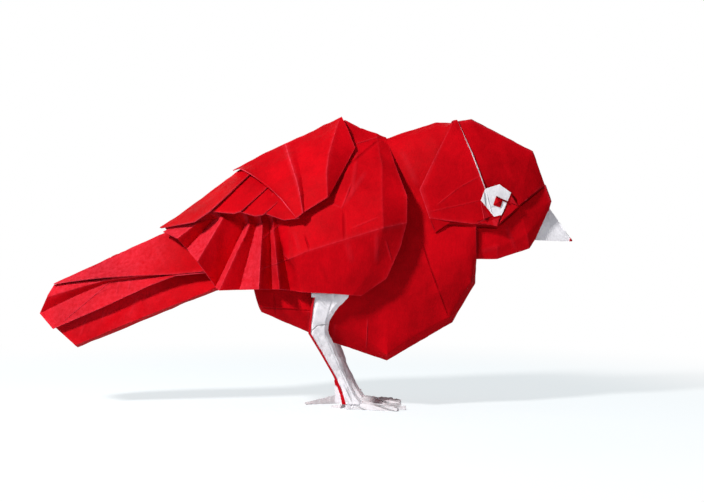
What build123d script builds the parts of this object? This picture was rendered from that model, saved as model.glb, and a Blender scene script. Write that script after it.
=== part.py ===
from build123d import *
import os

# The bird is folded from one sheet. All sizes are in millimetres.
# A fold corner is written (along, out, up): along from the middle towards the beak,
# out from the middle plane of the bird, and up from the floor. The bird is the same
# on both sides, so a fold line is written once, for the side at minus Y.

# The sheet
PAPER = 0.32  # thickness of the paper where one layer shows
HEAD_PAPER = 0.6  # thickness in the head, where the layers lie in pairs
STACK = 0.1  # how much each layer lies over the next along the back
MITRE = 0.55  # how far a sharp fold may thin the paper before its corner is held back
LEG_RIDGE = 0.45  # where the ridge lies across the leg, from its rear edge
TUCK = 1.5  # how far the rump's sides slant forward as they are tucked in
COVERT_LAYER = 6  # the covert's place in the stack of layers along the back
HEEL = 0.12  # how far a toe reaches back past the foot's middle, as a share of its length

# Trunk: one line over the bird at each place, from the back ridge down to the keel
TRUNK_REAR = [(-20.2, 0, 68.5), (-20.1, 2, 66.4), (-19.9, 5.5, 60.6), (-18.4, 7.2, 48.8),
              (-16.0, 8.4, 39.6), (-14.9, 9.8, 35.6), (-13.6, 10.6, 30.9), (-12.9, 8, 29.1),
              (-13.1, 0, 29.5)]
TRUNK_RUMP = [(-1.7, 0, 79.2), (-1.6, 1.9, 76.9), (-1.5, 6.7, 70.4), (-0.8, 11.6, 55.7), (0.1, 13, 44.0),
              (0.4, 13.4, 35.8), (1.1, 13.2, 29.6), (1.1, 9, 23.1), (0.7, 0, 23.4)]
TRUNK_HIP = [(10.9, 0, 85.4), (10.9, 2.2, 82.8), (11.5, 7.9, 73.3), (11.0, 13.4, 57.9),
             (10.1, 14.6, 44.1), (9.2, 14.6, 34.2), (8.8, 13.4, 25.8), (8.4, 9, 20.2), (8.2, 0, 20.7)]
TRUNK_BELLY = [(24.2, 0, 80.1), (24.3, 2, 79.5), (24.9, 6.6, 69.8), (25.4, 11.2, 56.3),
               (24.8, 13.3, 44.1), (24.2, 13.7, 30.0), (24.2, 12, 16.5), (24.2, 8.6, 14.7),
               (24.4, 0, 15.3)]
TRUNK_CHEST = [(32.4, 0, 82.8), (32.3, 4, 82.7), (31.9, 7.7, 70.4), (34.4, 11.7, 50.7),
               (37.1, 12.7, 42.3), (39.7, 12.9, 35.2), (42.6, 11.4, 27.7), (43.4, 8.4, 26.0),
               (43.4, 0, 26.7)]
TRUNK_BREAST = [(39.0, 0, 84.9), (38.8, 4.8, 84.8), (38.1, 8.4, 72.4), (42.4, 11.7, 54.9),
                (45.6, 12.4, 47.0), (47.4, 12.2, 42.2), (48.8, 11.4, 37.9), (50.2, 8, 37.4),
                (49.6, 0, 37.6)]
TRUNK_THROAT = [(43.8, 0, 84.8), (43.6, 4.8, 84.7), (43.4, 8, 73.9), (48.0, 10.4, 60.7),
                (50.3, 11.3, 55.1), (50.3, 11.3, 50.4), (50.4, 10.8, 46.6), (50.6, 8.2, 44.8),
                (49.6, 0, 44.8)]

# Wings: lines from the back ridge down to the hem, from the leading edge to the first pleat
WING_LEADING = [(24.1, 0, 80.4), (26.6, 7.9, 72.5), (30.0, 14.9, 63.2), (29.8, 17.2, 55.7),
                (28.0, 17.7, 48.7), (23.9, 17.6, 39.4), (16.6, 17.6, 34.4)]
WING_RIDGE = [(21.1, 0, 81.6), (22.7, 10.6, 72.2), (22.6, 17.9, 62.7), (22.9, 21, 54.4), (22.3, 21, 47.4),
              (19.4, 20.2, 39.5), (13.9, 18.6, 34.6)]
WING_MIDDLE = [(11.8, 0, 85.5), (12.4, 11.5, 71.6), (11.3, 18.6, 60.6), (12.0, 20.9, 51.0),
               (11.3, 20.6, 45.7), (9.8, 20.5, 40.1), (8.7, 19.6, 35.1)]
WING_REAR = [(1.9, 0, 81.5), (3.9, 11.8, 68.1), (2.0, 18, 58.3), (1.1, 20.4, 47.6), (0.6, 20.1, 43.3),
             (2.0, 20, 39.5), (4.0, 19.4, 35.3)]
WING_FAINT = [(-4.0, 0, 78.8), (-4.3, 11, 65.7), (-5.9, 16.6, 56.2), (-4.5, 19.7, 45.2),
              (-3.5, 19.4, 42.1), (-2.1, 19.3, 38.9), (-0.6, 19, 35.5)]

# Pleat fan behind it: each pleat fold from the back ridge by the fan's root to the hem.
# The folds are valley and hill in turn.
PLEATS = [
    [(-7.0, 0, 77.5), (-8.5, 10.3, 63.9), (-8.0, 14.8, 56.2), (-4.2, 15.2, 35.8)],
    [(-10.0, 0, 76.0), (-10.8, 10.4, 63.4), (-9.1, 16.2, 55.8), (-7.3, 18.3, 36.3)],
    [(-12.7, 0, 74.6), (-12.9, 9.6, 63.0), (-10.1, 14.6, 55.6), (-9.5, 15.2, 36.1)],
    [(-15.4, 0, 73.3), (-14.7, 9.8, 62.7), (-12.0, 15.8, 55.4), (-13.2, 18.6, 36.3)],
    [(-17.8, 0, 72.1), (-17.1, 8.6, 62.4), (-13.8, 13.4, 55.2), (-19.6, 13.4, 35.8)],
    [(-20.2, 0, 70.4), (-19.2, 8.8, 62.1), (-16.0, 14.4, 54.7), (-25.2, 16.2, 35.8)],
    [(-23.8, 0, 67.7), (-22.5, 7.2, 61.2), (-19.0, 11, 55.6), (-28.2, 10.8, 39.1)],
    [(-28.3, 0, 64.3), (-26.7, 6.7, 59.7), (-22.6, 11.2, 56.5), (-31.4, 13, 43.6)],
    [(-32.8, 0, 60.9), (-31.3, 4.8, 57.9), (-26.9, 7.8, 56.5), (-35.0, 6.8, 47.4)],
    [(-37.3, 0, 57.6), (-35.5, 3.9, 55.7), (-31.1, 7.9, 55.3), (-37.9, 7.9, 50.6)],
    [(-42.2, 0, 53.7), (-41.8, 1, 53.1), (-41.4, 1.9, 52.8), (-42.4, 2.9, 52.4)],
]
PLEAT_ROWS = [0.46, 0.66, 0.84]  # how far down from the fan's root the hem's cross folds lie

# Long feathers between the wing and its covert, from the tip forward, each as lines from
# the back ridge to its free edge
FEATHER_TIP = [
    [(-43.7, 0, 52.5), (-43.3, 0.7, 53.2), (-42.8, 1.4, 53.1)],
    [(-38.9, 0, 56.1), (-38.3, 2.9, 55.6), (-37.6, 5.8, 54.2)],
    [(-33.4, 0, 60.1), (-33.0, 5, 58.2), (-32.5, 10.1, 55.2)],
    [(-27.7, 0, 64.3), (-27.6, 6, 62.1), (-27.7, 11.5, 58.5)],
    [(-21.7, 0, 68.7), (-21.6, 4.6, 67.1), (-21.5, 8.6, 64.3)],
    [(-16.6, 0, 72.7), (-16.5, 2.4, 71.5), (-16.4, 4.8, 69.2)],
]
FEATHER_SECOND = [
    [(-20.2, 0, 70.1), (-21.6, 6.5, 65.0), (-26.9, 10.3, 58.3)],
    [(-16.9, 0, 71.9), (-16.8, 7.7, 66.8), (-20.6, 14.4, 57.9)],
    [(-13.9, 0, 73.4), (-10.7, 9.6, 65.7), (-18.5, 14.8, 58.6)],
]
FEATHER_THIRD = [
    [(-14.5, 0, 73.3), (-13.8, 8.4, 65.7), (-18.9, 13.7, 58.5)],
    [(-12.1, 0, 74.3), (-10.2, 10.8, 64.5), (-14.5, 16, 57.3)],
    [(-9.4, 0, 75.5), (-6.7, 13.1, 62.2), (-12.0, 16.7, 57.7)],
]
FEATHER_FRONT = [
    [(-10.3, 0, 75.1), (-9.6, 11.2, 63.7), (-12.4, 15.5, 58.5)],
    [(-6.4, 0, 77.0), (-5.4, 13.9, 62.3), (-5.9, 18.1, 56.3)],
    [(-2.3, 0, 79.0), (-0.7, 15.8, 62.3), (-1.5, 19.2, 56.9)],
]

# Shoulder covert: the flap folded over the shoulder, as lines from the back ridge
COVERT_FRONT = [(10.9, 0, 86.1), (12.6, 4.4, 82.5), (14.8, 8.4, 76.8), (11.0, 13.4, 69.9),
                (7.2, 18.6, 62.9)]
COVERT_RIDGE = [(10.3, 0, 85.9), (8.7, 7.6, 81.0), (7.1, 13.2, 75.6), (6.5, 17, 69.9), (6.8, 19.5, 62.6)]
COVERT_STEP = [(-3.7, 0, 79.1), (-2.4, 7.4, 73.9), (-1.0, 12.5, 68.7), (-0.2, 16.3, 63.5),
               (0.1, 19.7, 58.5)]
COVERT_PLEAT = [(-6.1, 0, 78.1), (-4.4, 8.4, 73.4), (-2.2, 14.6, 67.0), (-1.2, 18, 63.0),
                (-0.4, 20.6, 58.0)]
COVERT_BACK = [(-13.0, 0, 74.8), (-11.0, 6.2, 70.9), (-8.1, 11.8, 65.7), (-5.0, 16.1, 61.2),
               (-2.2, 20.3, 56.6)]
COVERT_LOW = [(-17.5, 0, 72.4), (-15.2, 5, 70.3), (-12.7, 8.6, 67.7), (-9.9, 12.2, 64.9),
              (-6.8, 15.6, 62.1)]
COVERT_CORNER = [(-21.7, 0, 70.1), (-20.4, 1.8, 70.9), (-19.1, 3.4, 70.7), (-16.4, 6.2, 69.3),
                 (-11.4, 11, 66.3)]

# Tail: lines along it, from its end to the trunk
TAIL_TOP = [(-75.6, 0, 36.7), (-63.6, 0, 42.2), (-51.2, 0, 47.9), (-39.5, 0, 53.2), (-29.9, 0, 59.1),
            TRUNK_REAR[0]]
TAIL_SIDE = [(-75.5, 0.6, 36.7), (-63.3, 2.4, 40.6), (-50.8, 3.5, 43.8), (-39.1, 4.4, 46.8),
             (-29.5, 4.8, 50.7), TRUNK_REAR[2]]
TAIL_FLAP = [(-75.4, 1.1, 36.7), (-63.1, 4.4, 38.7), (-50.6, 5.9, 39.4), (-38.9, 6.6, 39.9),
             (-28.8, 7, 41.0), TRUNK_REAR[4]]
TAIL_STRIP = [(-77.1, 3.3, 33.2), (-68.7, 4.2, 35.7), (-60.5, 4.6, 37.9), (-46.2, 5.1, 39.7),
              (-29.8, 5.6, 41.8), (-19.3, 6.6, 43.1)]
TAIL_VALLEY = [(-79.7, 1.3, 27.9), (-69.0, 2.4, 33.1), (-58.6, 3.7, 37.7), (-45.7, 4.6, 39.4),
               (-29.5, 5.4, 41.2), (-19.4, 6.2, 42.5)]
TAIL_TONGUE = [(-75.4, 3.7, 23.5), (-59.9, 5.7, 30.3), (-45.9, 6.8, 36.8), (-38.3, 6.9, 39.7),
               (-28.8, 6.8, 40.6), (-19.3, 7, 41.3)]
TAIL_BELOW = [(-71.4, 2.6, 21.3), (-57.8, 3.5, 27.0), (-46.3, 4.2, 31.9), (-37.9, 4.6, 35.2),
              (-27.8, 5.1, 37.9), (-18.8, 6, 39.2)]
TAIL_BOTTOM = [(-68.6, 0, 17.7), (-56.4, 0, 22.7), (-45.3, 0, 27.3), (-37.8, 0, 30.4), (-26.9, 0, 34.8),
               (-18.5, 0, 36.1)]

# Head: face and cheek as lines over the crown, jaw as lines from the cheek to the chin
FACE_SLIT = [(45.4, 0, 85.3), (45.3, 4.8, 85.2), (48.7, 8.2, 76.9), (52.1, 10.2, 68.1),
             (53.9, 10.5, 61.3), (55.7, 10, 54.6)]
FACE_TEMPLE = [(49.6, 0, 85.9), (49.3, 4.9, 85.7), (53.7, 8, 77.5), (56.3, 9.4, 69.2), (58.1, 9.6, 62.2),
               (57.5, 9.7, 55.1)]
FACE_BROW = [(58.8, 0, 81.1), (58.4, 4.7, 81.0), (60.3, 7.4, 74.5), (61.1, 8.6, 68.0), (61.4, 8.9, 63.0),
             (60.2, 9.2, 57.6)]
FACE_FOREHEAD = [(67.8, 0, 76.3), (67.5, 3.9, 76.3), (66.7, 5.7, 73.0), (65.4, 7, 69.2),
                 (64.4, 7.9, 65.1), (63.1, 8.4, 60.5)]
FACE_BRIDGE = [(71.5, 0, 66.3), (71.3, 3, 66.3), (70.1, 4.3, 65.6), (68.8, 5.4, 64.8), (67.2, 6.4, 63.7),
               (65.4, 7.5, 62.2)]

CHEEK_EDGE = [(44.2, 0, 85.4), (44.0, 5.2, 85.3), (38.6, 9.9, 75.1), (33.6, 13, 65.1), (36.5, 14, 56.8)]
CHEEK_CREASE = [(44.6, 0, 85.4), (44.4, 5.2, 85.3), (41.8, 10.1, 75.3), (39.7, 13.1, 65.5),
                (41.7, 13.8, 56.1)]
CHEEK_FOLD = [(45.0, 0, 85.5), (44.7, 5.2, 85.4), (45.4, 9.8, 75.7), (46.1, 12.6, 65.7),
              (48.5, 12.9, 55.1)]
CHEEK_SLIT = [(45.4, 0, 85.5), (45.1, 5.2, 85.4), (49.1, 9.1, 75.8), (53.0, 11.3, 65.6),
              (56.8, 11.1, 54.5)]
CHEEK_TIP = [(36.5, 13.9, 57.1), (38.2, 14.2, 52.8), (43.8, 13.5, 56.5)]

JAW_BACK = [(50.4, 9.9, 56.0), (50.4, 9.9, 52.1), (50.4, 9.5, 48.3), (50.5, 8.3, 44.8), (51.7, 0, 45.1)]
JAW_MIDDLE = [(56.9, 9.3, 55.4), (56.9, 9.1, 51.8), (56.8, 8.7, 48.2), (56.9, 7.5, 44.7), (57.4, 0, 45.2)]
JAW_FRONT = [(63.3, 7.3, 61.5), (64.5, 7.3, 56.8), (65.8, 6.8, 52.0), (66.5, 6, 47.8), (66.7, 0, 48.3)]
JAW_BILL = [(71.3, 3.2, 66.5), (72.9, 3.8, 61.6), (72.0, 4.4, 58.6), (68.2, 5.4, 50.5), (68.2, 0, 50.8)]
BRIDGE_RIDGE = [(71.8, 0, 66.4), (73.5, 0, 61.5), (72.7, 0, 58.5)]

# Eye: a ring of the sheet's other face, round which the red face is folded, and a pupil in it
EYE_RING = [(53.0, 11.4, 65.5), (57.2, 10.6, 66.8), (60.7, 9.8, 64.3), (59.5, 10.1, 61.4),
            (57.9, 10.8, 57.8), (55.6, 11.3, 57.3), (51.7, 12.2, 62.1)]
EYE_FOLDS = {
    2: [(63.0, 8.5, 60.4)],
    3: [(63.0, 8.5, 60.4), (57.0, 10.9, 55.2)],
    4: [(56.6, 11.3, 54.6), (50.7, 12.9, 55.6)],
    5: [(52.6, 12.4, 56.5)],
}
PUPIL = [(56.3, 11, 63.2), (58.3, 10.5, 62.4), (57.5, 10.9, 60.0), (55.4, 11.4, 60.7)]
PUPIL_RISE = 0.75  # how far the pupil's middle stands out from its corners

# Beak
BEAK_TIP = (79.9, 0, 49.5)
BEAK_ROOT = [(71.7, 0, 61.0), (70.9, 2.8, 57.2), (67.2, 4.1, 50.1)]
# Legs: rear and front edge at each fold down the leg, and the limb's half thickness
LEG_REAR = [(3.1, 14.6, 38.3), (2.8, 14.8, 34.2), (2.2, 14.2, 30.3), (1.7, 13.2, 26.1), (1.4, 12.6, 23.0),
            (4.7, 11.2, 17.3), (8.7, 9.4, 10.0), (10.8, 8.2, 4.5), (11.5, 7.8, 1.5)]
LEG_FRONT = [(13.3, 14.6, 38.3), (13.2, 14.8, 34.0), (9.4, 14.2, 30.3), (7.1, 13.2, 26.4),
             (6.8, 12.6, 23.7), (9.5, 11.2, 17.6), (12.4, 9.4, 10.0), (15.1, 8.2, 4.4), (17.5, 7.8, 1.5)]
LEG_BULGE = [1.0, 1.1, 1.3, 1.3, 1.35, 1.15, 1.0, 1.1, 1.5]

FAR_LEG_AHEAD = 0.8  # the far leg is set down this much in front of the near one

# Feet: the sole's middle stands below the leg's end
FOOT_OUT = 7.8
FOOT_ALONG = 14.0
SOLE_EDGE = 0.25  # height of a toe's side edges above the floor
TOE_TIP = 1.1  # height of the folded ridge at a toe's tip
TOE_WIDTH = 3.0
TOE_TIP_WIDTH = 1.5
# Reach forward and sideways (outward) of each toe from the foot's middle, and how high
# its folded ridge stands there
NEAR_TOES = [(13.4, 5.2, 2.2), (15.8, 2.4, 2.5), (14.6, -3.4, 2.3), (-6.0, -3.6, 2.0)]
FAR_TOES = [(11.6, 2.6, 2.2), (14.0, -1.8, 2.5), (13.6, -6.2, 2.3), (-15.0, -5.4, 3.6)]


def corner(place, rise=0.0):
    """A fold corner of the near side as a point in space, lifted by rise."""
    along, out, up = place
    return Vector(along, -out, up + rise)


def between(first, second, share):
    """The point a share of the way from one corner to another."""
    return tuple(a + (b - a) * share for a, b in zip(first, second))


def facets(lines):
    """Triangles of the paper stretched between neighbouring fold lines."""
    found = []
    for left, right in zip(lines, lines[1:]):
        for a, b, c, d in zip(left, left[1:], right[1:], right):
            found += [(a, b, c), (a, c, d)]
    return found


def mirrored(points):
    return [Vector(p.X, -p.Y, p.Z) for p in points]


def over_the_back(lines, layer=0):
    """Fold lines carried on over the ridge to the far side. Each layer lies a little
    higher than the last."""
    near = [[corner(place, layer * STACK) for place in line] for line in lines]
    return [mirrored(line[:0:-1]) + line for line in near]


def thicken(triangles, wall=PAPER):
    """A closed solid of paper that lies half to each side of the faceted surface."""
    corners = []
    numbers = {}
    faces = []
    for triangle in triangles:
        ids = []
        for point in triangle:
            key = (round(point.X, 4), round(point.Y, 4), round(point.Z, 4))
            if key not in numbers:
                numbers[key] = len(corners)
                corners.append(point)
            ids.append(numbers[key])
        if len(set(ids)) == len(ids):
            faces.append(ids)
    sums = [Vector(0, 0, 0) for _ in corners]
    normals = []
    for a, b, c in faces:
        normal = (corners[b] - corners[a]).cross(corners[c] - corners[a]).normalized()
        normals.append(normal)
        for i, j, k in ((a, b, c), (b, c, a), (c, a, b)):
            angle = (corners[j] - corners[i]).get_angle(corners[k] - corners[i])
            sums[i] = sums[i] + normal * angle
    shifts = []
    for number, total in enumerate(sums):
        lean = total.normalized()
        square = min(lean.dot(n) for n, ids in zip(normals, faces) if number in ids)
        shifts.append(lean * (wall / 2 / max(square, MITRE)))
    upper = [p + s for p, s in zip(corners, shifts)]
    lower = [p - s for p, s in zip(corners, shifts)]
    skins = []
    for a, b, c in faces:
        skins += [(upper[a], upper[b], upper[c]), (lower[a], lower[c], lower[b])]
    steps = {(i, j) for a, b, c in faces for i, j in ((a, b), (b, c), (c, a))}
    for i, j in sorted(steps):
        if (j, i) not in steps:
            skins += [(upper[j], upper[i], lower[i]), (upper[j], lower[i], lower[j])]
    return closed(skins)


def closed(skins):
    """The solid inside flat three-cornered faces."""
    return Solid(Shell([Face(Wire.make_polygon(skin)) for skin in skins]))


def limb(sections):
    """A solid limb through rings of corners, closed at both ends."""
    skins = []
    for low, high in zip(sections, sections[1:]):
        for i, point in enumerate(low):
            j = (i + 1) % len(low)
            skins += [(point, low[j], high[j]), (point, high[j], high[i])]
    first, last = sections[0], sections[-1]
    for i in range(1, len(first) - 1):
        skins += [(first[0], first[i + 1], first[i]), (last[0], last[i], last[i + 1])]
    return closed(skins)


def both_sides(shapes):
    return shapes + [shape.mirror(Plane.XZ) for shape in shapes]


def trunk():
    """The body from the throat back to the rump, where both sides are tucked in to the middle."""
    tuck = [(along + TUCK, 0, up) for along, out, up in TRUNK_REAR]
    lines = [tuck, TRUNK_REAR, TRUNK_RUMP, TRUNK_HIP, TRUNK_BELLY, TRUNK_CHEST, TRUNK_BREAST, TRUNK_THROAT]
    return [thicken(facets(over_the_back(lines)))]


def pleat_line(fold):
    """A pleat's fold with the cross folds of the wing carried over it."""
    root, hem = fold[2], fold[3]
    return fold[:3] + [between(root, hem, share) for share in PLEAT_ROWS] + [hem]


def wings():
    lines = [WING_LEADING, WING_RIDGE, WING_MIDDLE, WING_REAR, WING_FAINT]
    lines = lines + [pleat_line(fold) for fold in PLEATS]
    return [thicken(facets(over_the_back(lines, 1)))]


def feathers():
    """Each feather lies under the one behind it and over the one in front."""
    stack = [FEATHER_FRONT, FEATHER_THIRD, FEATHER_SECOND, FEATHER_TIP]
    return [thicken(facets(over_the_back(lines, 2 + number))) for number, lines in enumerate(stack)]


def coverts():
    lines = [COVERT_FRONT, COVERT_RIDGE, COVERT_STEP, COVERT_PLEAT, COVERT_BACK, COVERT_LOW, COVERT_CORNER]
    return [thicken(facets(over_the_back(lines, COVERT_LAYER)))]


def tail():
    """Top flap, the zigzag below it that starts inside it, and the lower flap."""
    top = thicken(facets(list(zip(*over_the_back(list(zip(TAIL_TOP, TAIL_SIDE, TAIL_FLAP)))))))
    zigzag = [TAIL_SIDE, TAIL_STRIP, TAIL_VALLEY, TAIL_TONGUE]
    hidden = [between(a, b, 0.5) for a, b in zip(TAIL_VALLEY, TAIL_TONGUE)]
    near = [[corner(place) for place in line] for line in zigzag]
    lower = [[corner(place) for place in line] for line in (hidden, TAIL_BELOW, TAIL_BOTTOM)]
    whole = lower + [mirrored(line) for line in lower[-2::-1]]
    return [top, thicken(facets(whole))] + both_sides([thicken(facets(near))])


def head():
    """The face and the cheek flap over the crown, the jaw under it and the bridge between the eyes."""
    face = [FACE_SLIT, FACE_TEMPLE, FACE_BROW, FACE_FOREHEAD, FACE_BRIDGE]
    cheek = [CHEEK_EDGE, CHEEK_CREASE, CHEEK_FOLD, CHEEK_SLIT]
    jaw = [[corner(place) for place in line] for line in (JAW_BACK, JAW_MIDDLE, JAW_FRONT, JAW_BILL)]
    under = [line + mirrored(line[-2::-1]) for line in jaw]
    ridge = [corner(place) for place in BRIDGE_RIDGE]
    side = jaw[-1][: len(ridge)]
    tip = [tuple(corner(place) for place in CHEEK_TIP)]
    return [
        thicken(facets(over_the_back(face)), HEAD_PAPER),
        thicken(facets(over_the_back(cheek, 2)), HEAD_PAPER),
        thicken(facets(under), HEAD_PAPER),
        thicken(facets([side, ridge, mirrored(side)]), HEAD_PAPER),
    ] + both_sides([thicken(tip)])


def fan(middle, ring):
    """Triangles from a middle corner to each pair of neighbouring corners."""
    return [(middle, ring[i - 1], ring[i]) for i in range(len(ring))]


def eyes():
    """The ring with the folds laid out from its sides, and the pupil's low pyramid."""
    ring = [corner(place) for place in EYE_RING]
    centre = sum(ring, Vector(0, 0, 0)) / len(ring)
    triangles = fan(centre, ring)
    for side, outer in EYE_FOLDS.items():
        points = [ring[side + 1], ring[side]] + [corner(place) for place in outer]
        triangles += [(points[0], b, c) for b, c in zip(points[1:], points[2:])]
    pupil = [corner(place) for place in PUPIL]
    peak = sum(pupil, Vector(0, 0, 0)) / len(pupil) - Vector(0, PUPIL_RISE, 0)
    return both_sides([thicken(triangles), thicken(fan(peak, pupil))])


def beak():
    tip = [BEAK_TIP] * len(BEAK_ROOT)
    return [thicken(facets(over_the_back([BEAK_ROOT, tip])))]


def leg():
    """A tightly folded strip: a four-cornered section from the thigh to the foot."""
    sections = []
    for rear, front, bulge in zip(LEG_REAR, LEG_FRONT, LEG_BULGE):
        middle = between(rear, front, LEG_RIDGE)
        outer = (middle[0], middle[1] + bulge, middle[2])
        inner = (middle[0], middle[1] - bulge, middle[2])
        sections.append([corner(place) for place in (rear, outer, front, inner)])
    return limb(sections)


def toe(reach, side):
    """A flat-soled folded toe from the foot's middle to its tip."""
    ahead, outward, rise = reach
    along = FOOT_ALONG if side > 0 else FOOT_ALONG + FAR_LEG_AHEAD
    start = Vector(along, -side * FOOT_OUT, 0)
    run = Vector(ahead, -side * outward, 0)
    across = run.cross(Vector(0, 0, 1)).normalized()
    rim = Vector(0, 0, SOLE_EDGE)
    rings = []
    for share, width, height in ((-HEEL, TOE_WIDTH, rise), (1, TOE_TIP_WIDTH, TOE_TIP)):
        place = start + run * share
        half = across * (width / 2)
        top = place + Vector(0, 0, height)
        rings.append([place - half, place - half + rim, top, place + half + rim, place + half])
    return limb(rings)


def legs_and_feet():
    near = leg()
    far = near.mirror(Plane.XZ).moved(Location((FAR_LEG_AHEAD, 0, 0)))
    shapes = [near, far]
    shapes += [toe(reach, 1) for reach in NEAR_TOES]
    shapes += [toe(reach, -1) for reach in FAR_TOES]
    return shapes


def folded_sheet():
    """Every layer joined where it folds over from the next, as one solid."""
    pieces = trunk() + wings() + feathers() + coverts() + tail() + head() + eyes() + beak() + legs_and_feet()
    whole = pieces[0].fuse(*pieces[1:])
    box = whole.bounding_box()
    middle = box.center()
    return whole.moved(Location((-middle.X, -middle.Y, -box.min.Z)))


os.makedirs("parts", exist_ok=True)
bird = folded_sheet()
print("solids", len(bird.solids()), "faces", len(bird.faces()), "volume", round(bird.volume, 1))
print("size", bird.bounding_box().size)
export_step(bird, "parts/folded_sheet.step")
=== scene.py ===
import math

import bpy
import numpy as np
from bpy.props import FloatProperty, FloatVectorProperty, PointerProperty
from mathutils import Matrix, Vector


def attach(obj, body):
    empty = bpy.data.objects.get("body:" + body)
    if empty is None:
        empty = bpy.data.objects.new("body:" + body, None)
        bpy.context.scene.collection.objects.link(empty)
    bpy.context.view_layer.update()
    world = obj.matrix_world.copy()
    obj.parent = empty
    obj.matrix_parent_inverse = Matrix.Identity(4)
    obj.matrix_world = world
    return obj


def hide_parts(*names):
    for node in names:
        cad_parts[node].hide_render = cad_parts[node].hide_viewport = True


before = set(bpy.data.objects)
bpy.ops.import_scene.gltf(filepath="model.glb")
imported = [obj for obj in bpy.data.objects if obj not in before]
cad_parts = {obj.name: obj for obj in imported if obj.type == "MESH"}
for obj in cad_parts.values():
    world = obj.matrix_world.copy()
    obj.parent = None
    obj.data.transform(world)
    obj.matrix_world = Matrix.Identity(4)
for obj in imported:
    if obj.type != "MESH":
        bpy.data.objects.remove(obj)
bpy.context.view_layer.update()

bl_info = {
    "name": "Folded paper songbird",
    "version": (1, 0, 0),
    "blender": (4, 5, 0),
    "location": "3D View > Sidebar > Songbird",
    "description": "A songbird folded from one sheet of red paper, standing on white paper feet",
    "category": "Add Mesh",
}

# Every fold corner is (along, out, up) in millimetres: along towards the beak, out from the
# bird's middle plane, up from the floor. A line is written for the near side, minus Y.

MM = 0.001
MIDDLE = 0.22  # where the middle of the bird's length lies, in the corners' own measure
STACK = 0.1  # how much each layer lies over the next along the back
FOLD_HALF = 0.2  # half the width of the rounding at a fold
EDGE_BAND = 0.18  # width of the worn band along an edge
EDGE_WEAR = 0.35  # how rubbed the paper is at its edges
CREASE_HEIGHT = 0.1  # how high a pressed crease of strength 1 stands
CREASE_SLOPE = 0.8  # how much wider the slope of a crease is than its coloured line
CREASE_END = 1.5  # length over which the slope fades out, half of it past the crease's end
LINE_END = (-0.5, 1.5)  # the coloured line fades in from past the end to inside it
DENT_SIZE = 11  # length of the waves that make the dents of a sheet
LIMB_DENT_SIZE = 5  # the same on a leg or a toe
CALM_RIM = 4  # how far in from its border a sheet comes to its full crumple
PULL = 0.004  # how much relaxing paper is pulled back to its net in each round
LIMB_SPACING, QUICK_LIMB_SPACING = 0.6, 1.6  # mesh spacing on legs and toes, against a sheet's
SIDES = ((1, "near"), (-1, "far"))  # sign and name of the bird's two sides
PLEAT_ROWS = [0.46, 0.66, 0.84]  # how far down a pleat its cross folds lie
TUCK = 1.5  # how far the sides of the rump slant forward as they are tucked in
COVERT_LAYER = 6  # the covert's place in the stack of layers along the back
HEEL = 0.12  # how far a toe reaches back past the foot's middle, as a share of its reach
TAIL_HOLLOW = 0.6  # how deep the tail's lower flap starts, as a share of the valley's depth
TAIL_INSET = 0.35  # how far the zigzag starts inside the tail's top flap
TIP_SHARE = 0.08  # how much of the beak its red tip covers
LIT_SIDE = (-0.58, -0.47, 0.66)  # towards the main lamp; paper that faces it is painted paler, a painted highlight
SLIT_RISE = 0.19  # how far the white slit's strip stands out from the cheek's front edge
SLIT_BACK, SLIT_IN = 0.2, 0.3  # how far back and in its hidden edge lies
SLIT_WIDTHS = [0.0, 0.12, 0.26, 0.2, 0.0]  # of the white slit, from the crown to the eye
# Width of the red strip down a leg at each fold, as a share of its full width
SEAM_SHARES = [0.5, 0.6, 0.7, 0.8, 0.7, 0.7, 1.2, 2.2]
# Its three lines: how far out from the leg's rear edge, and forward as a share of its width
SEAM_LINES = [(-0.6, -0.6), (0.35, -0.5), (0.75, 0.5)]
SEAM_AHEAD = 0.1  # how much further forward its outer line lies

# Small folded layer of the white face at the top of each leg
LEG_CUFF = [
    [(2.0, 17, 36.1), (2.1, 17.8, 35.1), (2.1, 17.5, 34.1)],
    [(5.2, 17.4, 36.1), (5.2, 18.4, 35.0), (5.2, 18.1, 33.9)],
    [(8.7, 17.4, 36.1), (8.7, 18.4, 34.9), (8.7, 18, 33.8)],
]
# Ragged corner of the sheet behind each ankle: its white face, then its red one
HEEL_TAB = [[(8.8, 8.6, 7.2), (10.8, 8.6, 6.9), (11.0, 8.2, 1.6)],
            [(8.8, 8.6, 7.2), (11.0, 8.2, 1.6), (8.9, 8.4, 1.9)]]
HEEL_SPOT = [[(8.6, 9, 8.7), (10.0, 9, 9.0), (9.6, 8.9, 7.0)],
             [(8.6, 9, 8.7), (9.6, 8.9, 7.0), (8.9, 8.9, 7.2)]]

# Small red folds that lie over each other round the eye: name, how much paler its colour is made, corners
EYE_FLAPS = [
    ("below", 0.05, [[(50.9, 12.4, 55.6), (55.2, 11.1, 57.0), (56.6, 11.7, 54.6)]]),
    ("chin", 0.25, [[(55.1, 11.2, 57.0), (57.7, 10.6, 57.6), (56.5, 12, 54.6)],
                   [(55.1, 11.2, 57.0), (56.5, 12, 54.6), (55.3, 11.9, 54.8)]]),
    ("rear", 0.15, [[(51.7, 12, 61.5), (55.2, 11.2, 57.3), (52.6, 12.7, 56.6)]]),
    ("front", 0.04, [[(60.0, 9.7, 61.4), (62.9, 9.3, 60.3), (57.1, 11.3, 55.1)]]),
    ("corner", 0.2, [[(60.4, 9.8, 63.8), (62.9, 9.2, 60.5), (59.9, 9.8, 61.7)]]),
]
# Dark strip from the pupil towards the eye's corner: painted shade that stands in for the depth of the slit
PUPIL_SLIT = [[(56.3, 11.3, 63.4), (59.9, 10.4, 61.7), (59.8, 10.4, 61.2)],
              [(56.3, 11.3, 63.4), (59.8, 10.4, 61.2), (56.2, 11.3, 62.9)]]
FOLDS_SUNK = 0.5  # how far the folds behind the flaps lie below the ring's edge

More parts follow.
